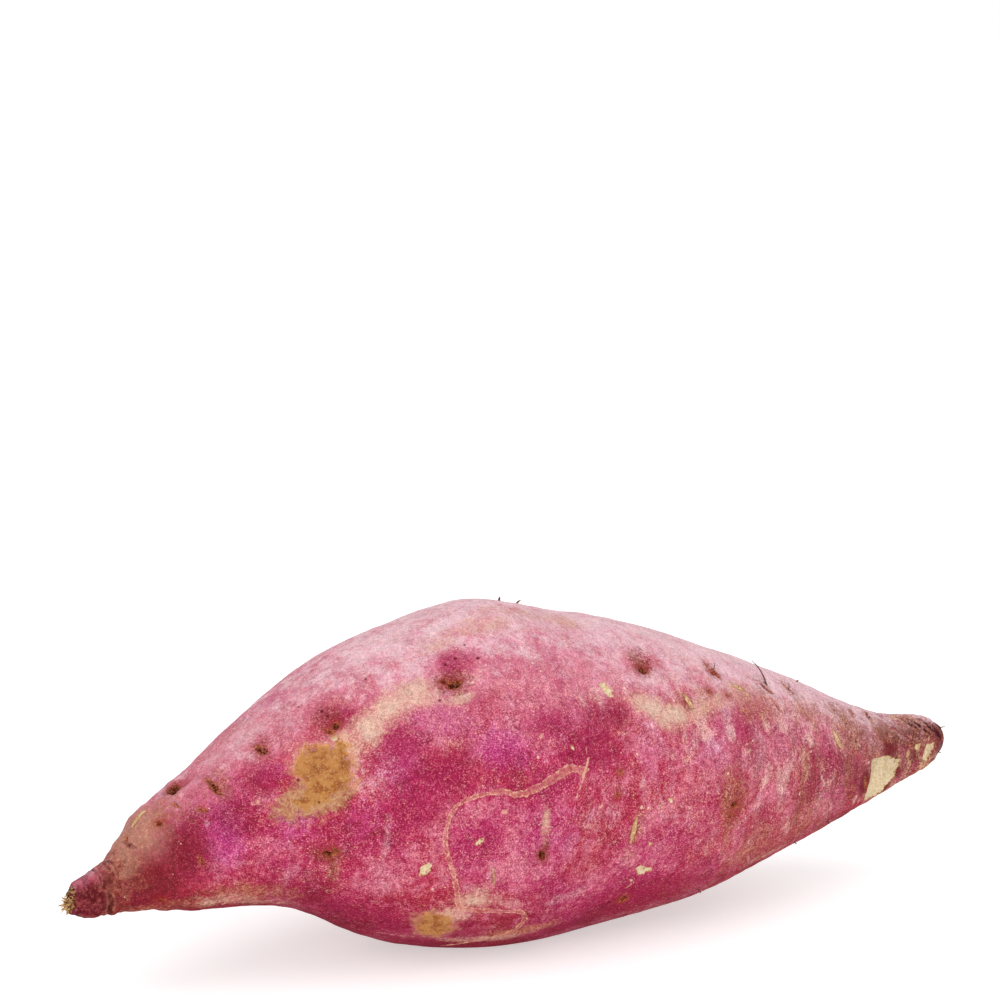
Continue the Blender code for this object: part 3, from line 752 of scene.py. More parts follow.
class Material:
    """A Principled material with short calls for the nodes that feed it. Noise sizes are in millimetres."""

    CONTRAST = 5.0  # brings noise, which is mostly between 0.3 and 0.7, to between -1 and 1

    def __init__(self, name, specular):
        self.made = bpy.data.materials.new(name)
        self.made.use_nodes = True
        self.tree = self.made.node_tree
        self.shader = self.tree.nodes["Principled BSDF"]
        self.shader.inputs["Specular IOR Level"].default_value = specular
        self.mm = self.stretched(self.node("TexCoord", {}, "Object"), (1000, 1000, 1000))
        self.colour = None

    def feed(self, socket, source):
        """Gives a socket another node's result, a hex colour, or a plain value."""
        if isinstance(source, bpy.types.NodeSocket):
            self.tree.links.new(source, socket)
        else:
            socket.default_value = linear(source) if isinstance(source, str) else source

    def node(self, kind, inputs, result=0, **settings):
        made = self.tree.nodes.new("ShaderNode" + kind)
        for name, value in settings.items():
            setattr(made, name, value)
        for name, source in inputs.items():
            self.feed(made.inputs[name], source)
        return made.outputs[result]

    def stretched(self, vector, scale):
        return self.node("VectorMath", {0: vector, 1: scale}, operation="MULTIPLY")

    def math(self, operation, a, b=0.0):
        return self.node("Math", {0: a, 1: b}, operation=operation)

    def most(self, a, b):
        return self.math("MAXIMUM", a, b)

    def off(self, value, middle):
        """How far a value is from the middle, to either side."""
        return self.math("ABSOLUTE", self.plus(value, -middle))

    def times(self, *factors):
        product = factors[0]
        for factor in factors[1:]:
            product = self.math("MULTIPLY", product, factor)
        return product

    def plus(self, *terms):
        """The sum of the terms. A term in brackets is the product of what it holds."""
        terms = [self.times(*term) if isinstance(term, tuple) else term for term in terms]
        total = terms[0]
        for term in terms[1:]:
            total = self.math("ADD", total, term)
        return total

    def wobble(self, size, detail, roughness, shift, across=1.0, along=1.0):
        """Noise with features of about this size, mostly between -1 and 1; shift picks the pattern.

        With across below 1 its features are long round the root, with along below 1 long along it.
        """
        place = self.mm if across == along else self.stretched(self.mm, (along, across, across))
        inputs = {"Vector": place, "W": shift, "Scale": 1 / size, "Detail": detail, "Roughness": roughness}
        fac = self.node("TexNoise", inputs, "Fac", noise_dimensions="4D")
        return self.times(self.plus(fac, -0.5), self.CONTRAST)

    def cells(self, size, shift):
        """Distance to the nearest of scattered points, in cell widths."""
        inputs = {"Vector": self.mm, "W": shift, "Scale": 1 / size}
        return self.node("TexVoronoi", inputs, "Distance", voronoi_dimensions="4D")

    def field(self, name):
        return self.node("Attribute", {}, "Fac", attribute_name=name)

    def step(self, value, low, high, to_low=0.0, to_high=1.0):
        """to_low below low, to_high above high, and smooth between; low may be the greater."""
        if low > high:
            low, high, to_low, to_high = high, low, to_high, to_low
        inputs = {"Value": value, "From Min": low, "From Max": high, "To Min": to_low, "To Max": to_high}
        return self.node("MapRange", inputs, "Result", interpolation_type="SMOOTHSTEP")

    def mix(self, factor, a, b):
        return self.node("Mix", {"Factor": factor, "A": a, "B": b}, "Result", data_type="RGBA")

    def paint(self, colour, *shares):
        """Lays a colour over what is there, as far as the product of the shares says."""
        self.colour = self.mix(self.times(*shares), self.colour, colour)

    def shade(self, lightness):
        """Makes the colour darker below lightness 1 and lighter above it."""
        self.colour = self.node("VectorMath", {0: self.colour, "Scale": lightness}, operation="SCALE")

    def finish(self, roughness, height_mm):
        """Wires the colour, the roughness and the bump, whose height is in millimetres."""
        bump = self.node("Bump", {"Distance": MM, "Strength": 1.0, "Height": height_mm})
        for name, source in (("Base Color", self.colour), ("Roughness", roughness), ("Normal", bump)):
            self.feed(self.shader.inputs[name], source)
        return self.made


# The skin's ground, from the deepest to the dustiest.
# Painted shade for the down-facing skin:
UNDERSIDE_SHADE = "6a0b18"
MAROON = "7c1020"
WINE = "7e1230"
CRIMSON_DEEP = "9c1a48"
CRIMSON = "aa2640"
MAGENTA = "b02c5e"
VIOLET = "bf4690"
ROSE = "d07488"
RED_BROWN = "a25650"
# The rosy top and the dusty top tones are partly bloom and partly a painted top light.
ROSY_BLOOM_AND_TOP_LIGHT = "d6889a"
LAVENDER = "e0a8c0"
SMEAR = "e2b8ac"
DUST_AND_TOP_LIGHT = "e8c4cb"
# Stains and flecks.
DUST = "d8a0ac"
BEIGE = "cf9e8a"
PALE_BEIGE = "dcbca8"
OCHRE = "9a4c38"
OCHRE_PALE = "c28468"
BROWN = "803428"
CREAM_FLECK = "f2d4b4"
PINK_FLECK = "f0c2d2"
# Dark flecks, also used for the painted shadow beside the root scar:
DARK_FLECK_AND_SCAR_SHADOW = "86062c"
BROWN_FLECK = "54140c"
PALE_PORE = "f4d2be"
DARK_PORE = "5a0e10"
# The stem end and the root tip.
NECK_BROWN = "6e2a2c"
COLLAR = "c49a84"
STUB = "4c0810"
STUB_PALE = "a4524c"
STRAW = "c89a62"
STRAW_DARK = "4a1808"
BARK = "581816"
TIP_CRUMB = "d6a684"
TIP_RIM = "54141c"
TIP_SPOT = "86143a"
BRUISE = "6a0e1e"
# Marks.
# Painted shade in the creases:
CREASE_SHADE = "4e0f10"
CREASE_LIP = "cf9c80"
# Painted shade in the creases of the root tip:
TIP_CREASE_SHADE = "2c0608"
SCAR = "c8806e"
SCAR_LIP = "e6b498"
RING = "dfae98"
TAN = "c07a58"
TAN_DARK = "8c3e20"
CORK_GOLD = "cc8c4c"
CORK_DARK = "a65c28"
CORK_PALE = "e0b98a"
CORK_HOLE = "92501a"
CORK_HOLE_DARK = "5c2c0c"
LENS_GOLD = "b98a58"
LENS_PALE = "e2c79a"
OLIVE = "80421e"
FLESH = "ead9bc"
FLESH_FIBRE = "d2b482"
FLESH_EDGE = "b88b50"
LEFT_SKIN = "74202e"
CRUMB_GOLD = "c87c50"
CRUMB_DARK = "7c1c06"
PIT_HALO = "942c28"
PIT_DARK = "480400"
DOT = "5c0c08"
# Painted shade in the sunken places of the skin:
HOLLOW_SHADE = "3a1210"
# Fibres, hairs and floor, pale and dark.
FIBRE_COLOURS = ("e6be84", "7c4a20")
HAIR_COLOURS = ("7a4a33", "3d1f18")
FLOOR_COLOURS = ("dbdada", "d8d7d7")

# In what follows, the numbers after a step's value are where it starts and ends, then its results there.


def paint_ground(s):
    """The skin itself: crimson, magenta and rose in patches, with painted shade below, and dusty bloom above
    that is partly a painted top light.
    """
    share, up, deep = s.field("share"), s.field("up"), s.field("deep")
    ends = s.off(share, 0.52)
    patches_of_tone = s.wobble(8, 4, 0.6, 2.0)
    small = s.wobble(1.5, 4, 0.75, 2.5)
    streaks = s.wobble(2.2, 3, 0.6, 3.0, across=0.30)
    s.colour = s.mix(s.step(s.wobble(26, 2, 0.5, 1.0), -0.6, 0.6), CRIMSON, MAGENTA)
    belly = s.step(ends, 0.26, 0.12, 0.0, 0.20)
    rosy = s.plus((patches_of_tone, 0.85), (small, 0.75), (streaks, 0.40), (deep, -1.0), belly)
    s.paint(ROSE, s.step(rosy, -0.30, 1.1, 0.0, 0.92))
    s.paint(WINE, s.step(rosy, -0.2, -1.3, 0.0, 0.7))
    violet = s.plus(s.field("violet"), (small, 0.30), (patches_of_tone, 0.20))
    s.paint(VIOLET, s.step(violet, 0.15, 1.0, 0.0, 0.70))
    dark = s.mix(s.step(ends, 0.30, 0.40), CRIMSON_DEEP, MAROON)
    sunken = s.plus(deep, (small, 0.34), (patches_of_tone, 0.20))
    s.paint(dark, s.step(sunken, 0.15, 1.00, 0.0, 0.85))
    # Painted shade: the down-facing skin darkens towards the deepest tone.
    low = s.plus(up, (patches_of_tone, 0.14), (small, 0.10))
    s.paint(UNDERSIDE_SHADE, s.step(low, -0.34, -1.0, 0.0, 0.74))
    banded = s.plus(s.wobble(3.2, 3, 0.6, 4.0, across=0.32), (small, 0.5))
    s.paint(RED_BROWN, s.step(share, 0.56, 0.78), s.step(banded, -0.5, 0.9, 0.12, 0.66))
    smears = s.wobble(4.4, 5, 0.66, 3.5, across=0.7)
    pale = s.plus((smears, 0.8), (up, 0.5), (deep, -0.5), s.step(share, 0.30, 0.72, -0.55, 0.05))
    warmth = s.plus(s.wobble(9, 2, 0.5, 3.8), s.step(share, 0.50, 0.85, 0.0, 0.9))
    smear_tone = s.mix(s.step(warmth, -0.3, 0.4), LAVENDER, SMEAR)
    s.paint(smear_tone, s.step(pale, 0.08, 0.60, 0.0, 0.72), s.step(share, 0.84, 0.93, 1.0, 0.45))
    # Rosy, then dusty bloom over the up-facing skin; the lighter top is partly painted light.
    reach = s.plus(s.step(share, 0.02, 0.36, -0.15, 0.0), s.step(share, 0.50, 0.90, 0.0, 0.24))
    mottles = s.plus((s.wobble(0.8, 4, 0.75, 5.0), 0.12), (s.wobble(4.0, 4, 0.65, 5.5), 0.19))
    veil_and_top_light = s.plus(up, reach, mottles, (deep, -0.36))
    s.paint(ROSY_BLOOM_AND_TOP_LIGHT, s.step(veil_and_top_light, 0.15, 0.95, 0.0, 0.58))
    s.paint(DUST_AND_TOP_LIGHT, s.step(veil_and_top_light, 0.66, 1.08, 0.0, 0.88))


def paint_stains(s):
    """Dusty bloom, beige scuffs and brown shadows, each broken up by the grain."""
    cloud = s.wobble(3.0, 4, 0.65, 11.0)
    grain = s.plus((s.wobble(0.60, 4, 0.75, 10.0), 0.50), (cloud, 0.40))

    def broken(name, full, much):
        """A stain's field, with the grain added where it is not 0."""
        field = s.field(name)
        return s.plus(field, (grain, s.step(field, 0.0, full), much))

    s.paint(DUST, s.step(broken("dusty", 0.35, 1.0), 0.15, 1.10, 0.0, 0.66))
    ochre_tone = s.mix(s.step(s.wobble(0.7, 3, 0.75, 12.5), -0.4, 0.8), OCHRE, OCHRE_PALE)
    s.paint(ochre_tone, s.step(broken("ochre", 0.4, 0.8), 0.10, 0.95, 0.0, 0.85))
    beige = broken("beige", 0.4, 0.8)
    s.paint(BEIGE, s.step(beige, 0.10, 0.85, 0.0, 0.72))
    s.paint(PALE_BEIGE, s.step(beige, 0.55, 1.30, 0.0, 0.80))
    brown = s.plus(s.field("brown"), (s.wobble(0.55, 3, 0.75, 12.0), 0.55), (cloud, 0.25))
    s.paint(BROWN, s.step(brown, 0.15, 1.0), s.step(s.field("brown"), 0.05, 0.4), 0.9)


def paint_flecks(s):
    """The mealy grain of the skin: light and dark, pale and dark flecks, cracks, and pale and dark pores."""
    share, up = s.field("share"), s.field("up")
    ends = s.off(share, 0.45)
    # Fewer pale flecks and pores face down, part of the painted shade there.
    under = s.step(up, -0.30, -0.90, 1.0, 0.30)
    bare = s.most(s.field("beige"), s.step(up, 0.40, 0.90))
    grain = s.plus((s.wobble(0.30, 2, 0.8, 6.0), 1.05), (s.wobble(0.85, 3, 0.75, 7.0), 0.44))
    contrast = s.step(bare, 0.0, 0.9, 0.46, 0.30)
    slow = s.wobble(3.4, 2, 0.6, 7.5)
    lines = s.wobble(0.7, 3, 0.7, 7.2, across=0.25)
    s.shade(s.plus(1.0, (grain, contrast), (slow, 0.08), (lines, s.step(ends, 0.15, 0.45, 0.06, 0.18))))
    pale_tone = s.mix(s.step(s.wobble(2.8, 2, 0.6, 8.5), -0.3, 0.3), CREAM_FLECK, PINK_FLECK)
    dark_tone = s.mix(s.step(ends, 0.22, 0.40), DARK_FLECK_AND_SCAR_SHADOW, BROWN_FLECK)
    clumps = s.step(s.wobble(2.6, 3, 0.6, 8.0), -0.6, 0.6, 0.40, 1.0)
    past_neck = s.step(share, 0.06, 0.22, 0.35, 1.0)
    shallow = s.step(s.field("deep"), 0.1, 0.9, 1.0, 0.55)
    s.paint(pale_tone, s.step(grain, 0.0, 1.3, 0.0, 0.74), clumps, under, past_neck, shallow)
    s.paint(dark_tone, s.step(grain, 0.05, -1.1, 0.0, 0.72), s.step(bare, 0.0, 0.9, 1.0, 0.12))
    cracks = s.step(s.off(s.wobble(1.1, 2, 0.6, 9.5), 0.0), 0.10, 0.0)
    s.paint(dark_tone, cracks, s.step(ends, 0.22, 0.42, 0.10, 0.50))
    scatter = s.wobble(2.0, 1, 0.5, 9.0)
    dots = s.step(s.plus(s.cells(2.3, 1.0), (scatter, -0.12)), 0.10, 0.04)
    tiny = s.step(s.plus(s.cells(1.2, 2.0), (scatter, -0.10)), 0.11, 0.04)
    s.paint(PALE_PORE, s.most(dots, tiny), under, 0.62)
    s.paint(DARK_PORE, s.step(s.cells(2.7, 3.0), 0.10, 0.05), 0.70)


def paint_ends(s):
    """The maroon stub of the stem end, and the barky root tip."""
    up = s.field("up")
    share = s.plus(s.field("share"), (s.wobble(2.4, 4, 0.7, 13.0), 0.010))
    below = s.step(up, -0.7, -0.1, 0.30, 1.0)
    s.paint(NECK_BROWN, s.step(share, 0.17, 0.05), s.step(up, 0.85, 0.40), below, 0.28)
    # Dusty bloom and painted top light on the top of the neck.
    s.paint(DUST_AND_TOP_LIGHT, s.step(share, 0.09, 0.13), s.step(share, 0.26, 0.18), s.step(up, 0.75, 0.98), 0.40)
    s.paint(COLLAR, s.step(share, 0.044, 0.056), s.step(share, 0.104, 0.080), s.step(up, 0.1, 0.6), 0.34)
    stub = s.mix(s.step(s.wobble(1.2, 4, 0.8, 13.5), -0.3, 0.7), STUB, STUB_PALE)
    lines = s.step(s.wobble(0.9, 4, 0.7, 14.0, across=0.25), -0.8, 0.5, 0.35, 0.95)
    # The stub thins on its top, so the paler skin beneath shows through as a painted highlight.
    s.paint(stub, s.step(share, 0.052, 0.030), lines, s.step(up, 0.50, 0.90, 1.0, 0.55), 0.95)
    barky = s.wobble(2.0, 4, 0.75, 14.5, across=0.55)
    grain = s.wobble(0.7, 3, 0.75, 14.8)
    lit = s.step(up, 0.96, 0.58, 0.10, 1.0)
    scales = s.step(s.plus(barky, (grain, 0.6)), -0.8, 0.4, 0.10, 1.0)
    s.paint(BARK, s.step(share, 0.84, 0.93), scales, s.step(up, -0.7, 0.1, 0.40, 1.0), lit, 0.92)
    crumbs = s.plus(barky, (grain, 0.9), s.step(up, 0.5, -0.1, -0.18, 0.34))
    crumb_tone = s.mix(s.step(up, 0.4, 0.0), OCHRE_PALE, TIP_CRUMB)
    s.paint(crumb_tone, s.step(share, 0.86, 0.95), s.step(crumbs, 0.15, 0.75), 0.85)
    s.paint(TIP_RIM, s.step(share, 0.970, 0.988), s.step(grain, -0.2, 0.6, 0.9, 0.3), lit)
    s.paint(TIP_SPOT, s.step(share, 0.86, 0.93), s.step(s.wobble(2.2, 3, 0.7, 14.9), 0.30, 0.75), 0.7)
    bruised = s.plus(s.field("deep"), (grain, 0.25))
    s.paint(BRUISE, s.step(share, 0.84, 0.87), s.step(bruised, 0.35, 0.9), 0.85)
    torn = s.plus(s.field("share"), (up, -0.003), (s.wobble(0.8, 3, 0.7, 15.5), 0.002))
    strands = s.step(s.wobble(0.45, 2, 0.7, 15.8, along=0.4), -0.3, 0.5)
    s.paint(s.mix(strands, STRAW_DARK, STRAW), s.step(torn, 0.006, 0.004))


def paint_marks(s):
    """Everything with an edge, from the distances kept in the mesh."""
    fine = s.wobble(0.32, 3, 0.75, 15.0)
    broad = s.wobble(1.3, 3, 0.65, 16.0)
    crust = s.step(s.wobble(0.50, 3, 0.8, 19.5), -0.35, 0.45)
    crumbs = s.mix(crust, CRUMB_DARK, CRUMB_GOLD)

    def edge(name, ragged, lumpy=0.0):
        """The distance from the marks of a kind, with their edges made uneven."""
        return s.plus(s.field(name), (fine, ragged), (broad, lumpy))

    mealy = s.mix(s.step(s.wobble(0.6, 3, 0.8, 16.2), -0.3, 0.7), TAN, CORK_PALE)
    mealy = s.mix(s.step(s.wobble(0.8, 3, 0.8, 16.4), 0.25, 0.9, 0.0, 0.8), mealy, TAN_DARK)
    s.paint(mealy, s.step(edge("tan", 0.8, 1.5), 1.0, -2.0, 0.0, 0.9))

    crease = edge("crease", 0.16)
    broken = s.step(s.wobble(1.3, 3, 0.7, 16.8), -0.8, 0.1, 0.20, 1.0)
    at_tip = s.step(s.field("share"), 0.86, 0.92)
    s.paint(CREASE_LIP, s.step(s.off(crease, 0.38), 0.28, 0.05), broken, 0.16)
    # Painted shade in the creases, darkest in those of the root tip.
    s.paint(CREASE_SHADE, s.step(crease, 0.30, -0.15), broken, 0.85)
    s.paint(TIP_CREASE_SHADE, s.step(crease, 0.10, -0.20), s.step(broken, 0.2, 0.7), at_tip, 0.92)

    s.paint(SCAR_LIP, s.step(edge("scratch", 0.10), 0.12, -0.12, 0.0, 0.80))
    scar = edge("scar", 0.18, 0.22)
    patchy = s.step(s.wobble(1.1, 3, 0.7, 16.5), -0.6, 0.6)
    # A thin painted shadow just outside the raised scar.
    s.paint(DARK_FLECK_AND_SCAR_SHADOW, s.step(s.off(scar, 0.22), 0.16, 0.02), patchy, 0.35)
    s.paint(SCAR, s.step(scar, 0.15, -0.15), s.step(patchy, 0.0, 1.0, 0.22, 0.64))
    s.paint(SCAR_LIP, s.step(s.off(scar, -0.06), 0.18, 0.02), s.step(patchy, 0.0, 1.0, 0.15, 0.90))
    s.paint(RING, s.step(edge("ring", 0.10), 0.14, -0.06, 0.0, 0.65))

    cork = edge("cork", 0.45, 1.1)
    s.paint(CORK_PALE, s.step(cork, 2.2, 0.2, 0.0, 0.32))
    gold = s.mix(s.step(s.wobble(2.2, 4, 0.75, 17.0), -0.5, 0.3), CORK_DARK, CORK_GOLD)
    gold = s.mix(s.step(s.wobble(0.45, 3, 0.8, 18.0), 0.0, 0.9, 0.0, 0.75), gold, CORK_PALE)
    holes = s.plus(s.cells(2.4, 4.0), (s.wobble(0.8, 2, 0.6, 18.5), 0.12))
    gold = s.mix(s.step(holes, 0.34, 0.14, 0.0, 0.85), gold, CORK_HOLE)
    gold = s.mix(s.step(holes, 0.16, 0.04, 0.0, 0.90), gold, CORK_HOLE_DARK)
    s.paint(gold, s.step(cork, 0.8, -0.4, 0.0, 0.94))

    lens = edge("lens", 0.22, 0.12)
    s.paint(s.mix(crust, LENS_GOLD, LENS_PALE), s.step(lens, 0.12, -0.15, 0.0, 0.88))
    s.paint(OLIVE, s.step(s.off(lens, 0.04), 0.18, 0.02, 0.0, 0.6))

    flesh = edge("flesh", 0.16, 0.24)
    golden = s.step(s.wobble(0.9, 3, 0.7, 19.2), -0.5, 0.5, 0.15, 0.85)
    s.paint(FLESH_EDGE, s.step(flesh, 0.24, 0.02), golden)
    fibres = s.step(s.wobble(0.5, 3, 0.7, 19.0), -0.7, 0.8)
    s.paint(s.mix(fibres, FLESH_FIBRE, FLESH), s.step(flesh, 0.05, -0.10))
    left = s.step(s.wobble(1.4, 2, 0.6, 19.8), 0.55, 0.85)
    s.paint(LEFT_SKIN, left, s.step(flesh, -1.2, -0.3), s.step(flesh, 0.0, -0.1))

    slit = edge("slit", 0.32)
    s.paint(crumbs, s.step(slit, 0.55, 0.0, 0.0, 0.75))
    s.paint(PIT_DARK, s.step(slit, 0.0, -0.3), s.step(crust, 0.3, 0.8, 0.90, 0.20))
    s.paint(DOT, s.step(edge("dot", 0.12), 0.15, -0.10, 0.0, 0.85))
    pit = edge("pit", 0.45, 0.40)
    s.paint(PIT_HALO, s.step(pit, 2.0, 0.1, 0.0, 0.55))
    s.paint(crumbs, s.step(pit, 0.65, -0.1, 0.0, 0.85))
    s.paint(PIT_DARK, s.step(pit, -0.05, -0.65), s.step(crust, 0.35, 0.90, 1.0, 0.15))


def skin_height(s):
    """The bump of the skin, in millimetres: grain, fine cross lines, bark, pebbles and crumbs."""
    ends = s.step(s.off(s.field("share"), 0.48), 0.33, 0.46)
    scab = s.math("MINIMUM", s.math("MINIMUM", s.field("cork"), s.field("tan")), s.field("pit"))
    return s.plus(
        (s.wobble(0.42, 3, 0.65, 20.0), 0.075),
        (s.wobble(0.6, 3, 0.6, 21.0, across=0.16), 0.04),
        (s.wobble(1.0, 4, 0.7, 21.5, across=0.4), ends, 0.12),
        (s.wobble(1.3, 2, 0.5, 22.0), 0.06),
        (s.wobble(0.55, 4, 0.75, 23.0), s.step(scab, 0.5, -0.3), 0.16),
    )


def skin_material():
    s = Material("potato_skin", specular=0.08)
    for paint in (paint_ground, paint_stains, paint_flecks, paint_ends, paint_marks):
        paint(s)
    # Painted shade where the skin is pressed in.
    s.paint(HOLLOW_SHADE, s.step(s.field("sunk"), -0.10, -0.55, 0.0, 0.25))
    matt = s.most(s.field("dusty"), s.field("beige"))
    rough = s.plus(s.step(s.wobble(1.1, 3, 0.6, 24.0), -1.0, 1.0, 0.46, 0.62), (matt, 0.16))
    rougher_places = (("cork", 0.3, -0.2, 0.85), ("pit", 0.2, -0.2, 0.90), ("up", -0.1, -0.6, 0.92))
    for name, low, high, rougher in rougher_places:
        rough = s.most(rough, s.step(s.field(name), low, high, 0.0, rougher))
    return s.finish(rough, skin_height(s))


def fibre_material(name, pale, dark):
    s = Material(name, specular=0.3)
    s.colour = s.mix(s.step(s.wobble(0.8, 3, 0.6, 30.0, along=0.3), -0.8, 0.8), dark, pale)
    return s.finish(0.8, s.times(s.wobble(0.15, 2, 0.6, 31.0), 0.01))


# ---------------------------------------------------------------- fibres and hairs


def tube(shape, path, radii, sides=5):
    """Adds a closed, round-sided thread along a path of points to a bmesh."""
    rings = []
    side = None
    for number, (point, radius) in enumerate(zip(path, radii)):
        ahead = path[min(number + 1, len(path) - 1)]
        behind = path[max(number - 1, 0)]
        forward = (ahead - behind).normalized()
        side = side - forward * side.dot(forward) if side else forward.orthogonal()
        side.normalize()
        other = forward.cross(side)
        turns = [2 * math.pi * k / sides for k in range(sides)]
        ring = [point + (side * math.cos(turn) + other * math.sin(turn)) * radius for turn in turns]
        rings.append([shape.verts.new(place) for place in ring])
    for a, b in zip(rings, rings[1:]):
        for k in range(sides):
            j = (k + 1) % sides
            shape.faces.new((a[k], a[j], b[j], b[k]))
    shape.faces.new(rings[0][::-1])
    shape.faces.new(rings[-1])


def object_from(shape, name, material):
    mesh = bpy.data.meshes.new(name)
    shape.to_mesh(mesh)
    shape.free()
    mesh.materials.append(material)
    return linked(name, mesh)


STEM_FIBRES = 110
STEM_RADIUS = 2.0
GOLDEN_TURN = 2.39996
FIBRE_TIMES = (0, 0.35, 0.7, 1.0)
FIBRE_TAPER = (1, 0.9, 0.7, 0.25)


def stem_fibres(body):
    """The frayed ends of the vine's fibres, standing out of the torn stem face."""
    draw = random.Random(7)
    middle = body.middle(0.0)
    shape = bmesh.new()
    for number in range(STEM_FIBRES):
        turn = number * GOLDEN_TURN
        spread = math.sqrt((number + 0.5) / STEM_FIBRES)
        out = Vector((0, -math.sin(turn), math.cos(turn)))
        root = Vector((0.0014 + 0.0010 * out.z * spread, 0, -0.0003))
        start = middle + out * (spread * STEM_RADIUS * MM) + root
        length = draw.uniform(2.0, 4.2) * (1.1 - 0.40 * spread) * MM
        lean = out * draw.uniform(-0.7, 0.12)
        lean += Vector((0, draw.uniform(-0.25, 0.25), draw.uniform(-0.40, 0.10)))
        curl = Vector((0, draw.uniform(-1, 1), draw.uniform(-1, 1))) * 0.6
        path = []
        for t in FIBRE_TIMES:
            forward = (Vector((-1, 0, 0)) + lean * t + curl * t * t).normalized()
            path.append(start + forward * length * t)
        width = draw.uniform(0.13, 0.30) * MM
        tube(shape, path, [width * taper for taper in FIBRE_TAPER])
    return object_from(shape, "stem_fibres", fibre_material("stem_fibres", *FIBRE_COLOURS))


# Root hairs: place, lean along, lean round, length, radius, curl, in millimetres.
ROOT_HAIRS = (
    (0.474, -3, -0.2, 0.3, 1.1, 0.30, 0.4), (0.494, -3, 0.5, -0.3, 1.3, 0.26, -0.5),
    (0.750, 29, -0.7, -1.3, 3.6, 0.20, 0.25), (0.750, 30, -0.9, 0.7, 1.5, 0.18, -0.6),
    (0.808, 10, 0.3, 0.1, 1.0, 0.22, 0.3), (0.780, 29, 0.4, -0.6, 1.6, 0.12, 0.7),
    (0.679, 30, 0.7, -0.5, 1.5, 0.12, 0.6), (0.655, 143, 0.2, 0.6, 1.0, 0.18, 0.4),
    (0.780, 140, 0.4, 0.7, 0.9, 0.16, 0.3), (0.822, 134, 0.2, 0.7, 0.9, 0.14, 0.3),
    (0.986, 40, 0.8, 0.3, 1.8, 0.16, 0.6), (0.990, 150, 0.9, 0.2, 1.4, 0.14, -0.6),
    (0.610, 212, 0.5, 0.4, 2.4, 0.14, 1.0), (0.655, 290, -0.5, 0.4, 2.0, 0.14, -0.8),
    (0.760, 240, 0.6, -0.5, 2.6, 0.12, 1.1), (0.305, 318, -0.4, 0.4, 1.6, 0.16, 0.7),
)
HAIR_TIMES = (-0.25, 0.0, 0.25, 0.5, 0.75, 1.0)
HAIR_TAPER = (1.0, 1.0, 0.85, 0.7, 0.55, 0.3)


def root_hairs(body):
    """Wiry ends of fine side roots, and short stubs where they broke off."""
    shape = bmesh.new()
    for share, angle, along, around, length, radius, curl in ROOT_HAIRS:
        middle, forward, round_way, out = (Vector(v) for v in body.frame(share, angle))
        lean = forward * along + round_way * around + out
        bend = (forward * around - round_way * along) * curl
        path = []
        for t in HAIR_TIMES:
            step = lean * t + bend * t * abs(t) - out * (0.35 * t * t)
            path.append(middle + step * (length * MM))
        tube(shape, path, [radius * taper * MM for taper in HAIR_TAPER])
    return object_from(shape, "root_hairs", fibre_material("root_hairs", *HAIR_COLOURS))


# ---------------------------------------------------------------- floor, light, camera


CAMERA_AZIMUTH = -25.0
CAMERA_ELEVATION = 15.0
CAMERA_DISTANCE = 0.582
CAMERA_TARGET = (-0.0060, 0.0, 0.0332)
CAMERA_PITCH = 5.65  # degrees that the view is raised above the target, for the empty upper half
FLOOR_SIZE = 200.0
# The lights: azimuth, elevation, angle across in degrees, power in watts a square metre.
KEY = (-35.0, 60.0, 80.0, 1.3)
FILL = (-20.0, 8.0, 60.0, 0.7)
GLOW = 0.72
TABLE_GLOW = 0.5  # the light table shines a little of its own


def way_back(azimuth, elevation):
    a, e = math.radians(azimuth), math.radians(elevation)
    return Vector((math.sin(a) * math.cos(e), -math.cos(a) * math.cos(e), math.sin(e)))


def aimed(name, data, way, up):
    """A camera or light that looks, or shines, back along a way."""
    made = bpy.data.objects.new(name, data)
    bpy.context.scene.collection.objects.link(made)
    made.rotation_mode = "QUATERNION"
    made.rotation_quaternion = way.to_track_quat(up, "Y")
    return made


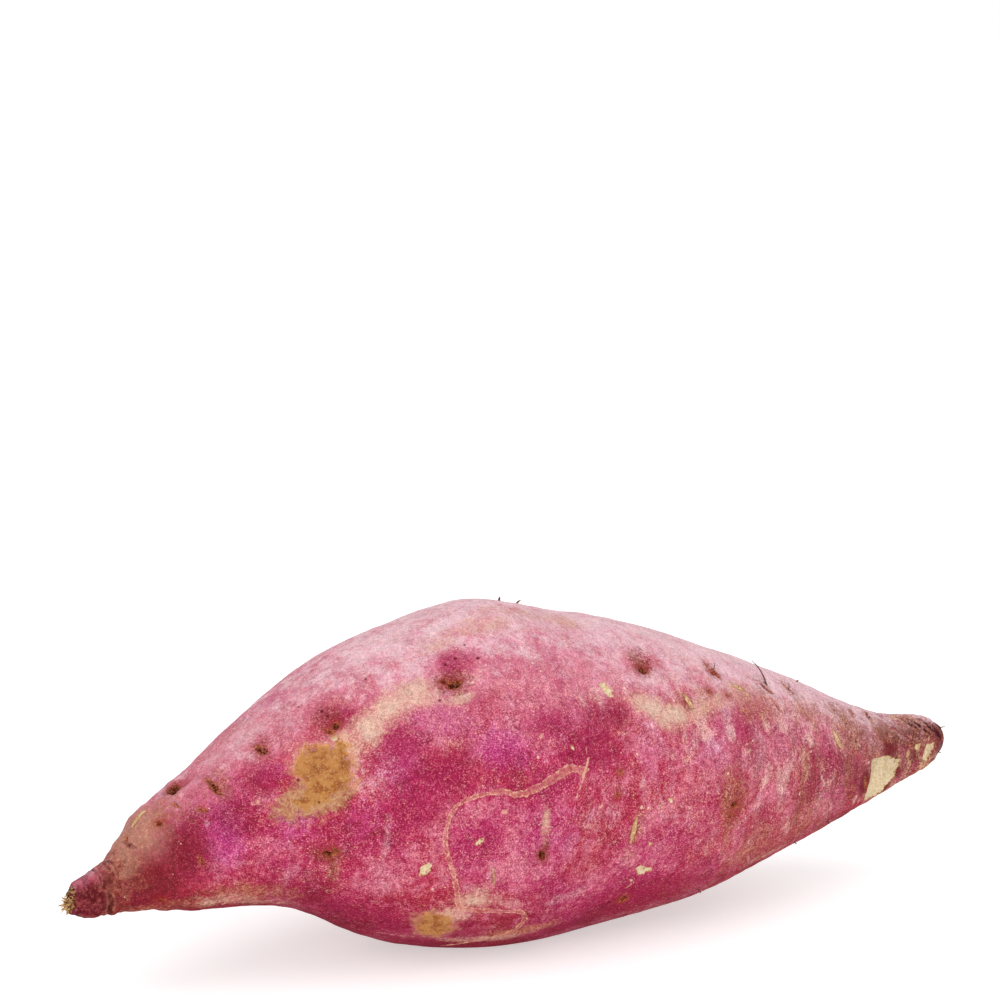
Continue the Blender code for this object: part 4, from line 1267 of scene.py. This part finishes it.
def make_camera():
    data = bpy.data.cameras.new("camera")
    data.lens = 100
    data.sensor_width = 36
    data.clip_start = 0.01
    data.clip_end = 200
    look = -way_back(CAMERA_AZIMUTH, CAMERA_ELEVATION - CAMERA_PITCH)
    camera = aimed("camera", data, look, "-Z")
    camera.location = Vector(CAMERA_TARGET) + way_back(CAMERA_AZIMUTH, CAMERA_ELEVATION) * CAMERA_DISTANCE
    bpy.context.scene.camera = camera


def make_floor():
    shape = bmesh.new()
    bmesh.ops.create_grid(shape, x_segments=1, y_segments=1, size=FLOOR_SIZE / 2)
    s = Material("floor", specular=0.0)
    s.feed(s.shader.inputs["Emission Color"], "ffffff")
    s.shader.inputs["Emission Strength"].default_value = TABLE_GLOW
    pale, dark = FLOOR_COLOURS
    s.colour = s.mix(s.step(s.wobble(40, 2, 0.5, 40.0), -1.0, 1.0), dark, pale)
    floor = object_from(shape, "floor", s.finish(0.9, s.times(s.wobble(2.0, 2, 0.5, 41.0), 0.002)))


def sun(name, azimuth, elevation, angle, power):
    data = bpy.data.lights.new(name, "SUN")
    data.angle = math.radians(angle)
    data.energy = power
    aimed(name, data, way_back(azimuth, elevation), "Z")


def make_lights():
    """A broad overhead light, a low fill and an even glow all round, before a white background."""
    sun("key", *KEY)
    sun("fill", *FILL)
    world = bpy.data.worlds.new("world")
    bpy.context.scene.world = world
    world.use_nodes = True
    tree = world.node_tree
    background = tree.nodes["Background"]
    background.inputs["Color"].default_value = (1, 1, 1, 1)
    seen = tree.nodes.new("ShaderNodeLightPath")
    strength = tree.nodes.new("ShaderNodeMix")
    tree.links.new(seen.outputs["Is Camera Ray"], strength.inputs["Factor"])
    strength.inputs["A"].default_value = GLOW
    strength.inputs["B"].default_value = 1.0
    tree.links.new(strength.outputs["Result"], background.inputs["Strength"])


def main():
    skin, body = build_skin()
    skin.data.materials.append(skin_material())
    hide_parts(NODE)
    for piece in (skin, stem_fibres(body), root_hairs(body)):
        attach(piece, BODY)
    make_floor()
    make_lights()
    make_camera()
    bpy.context.scene.view_settings.view_transform = "Standard"


main()
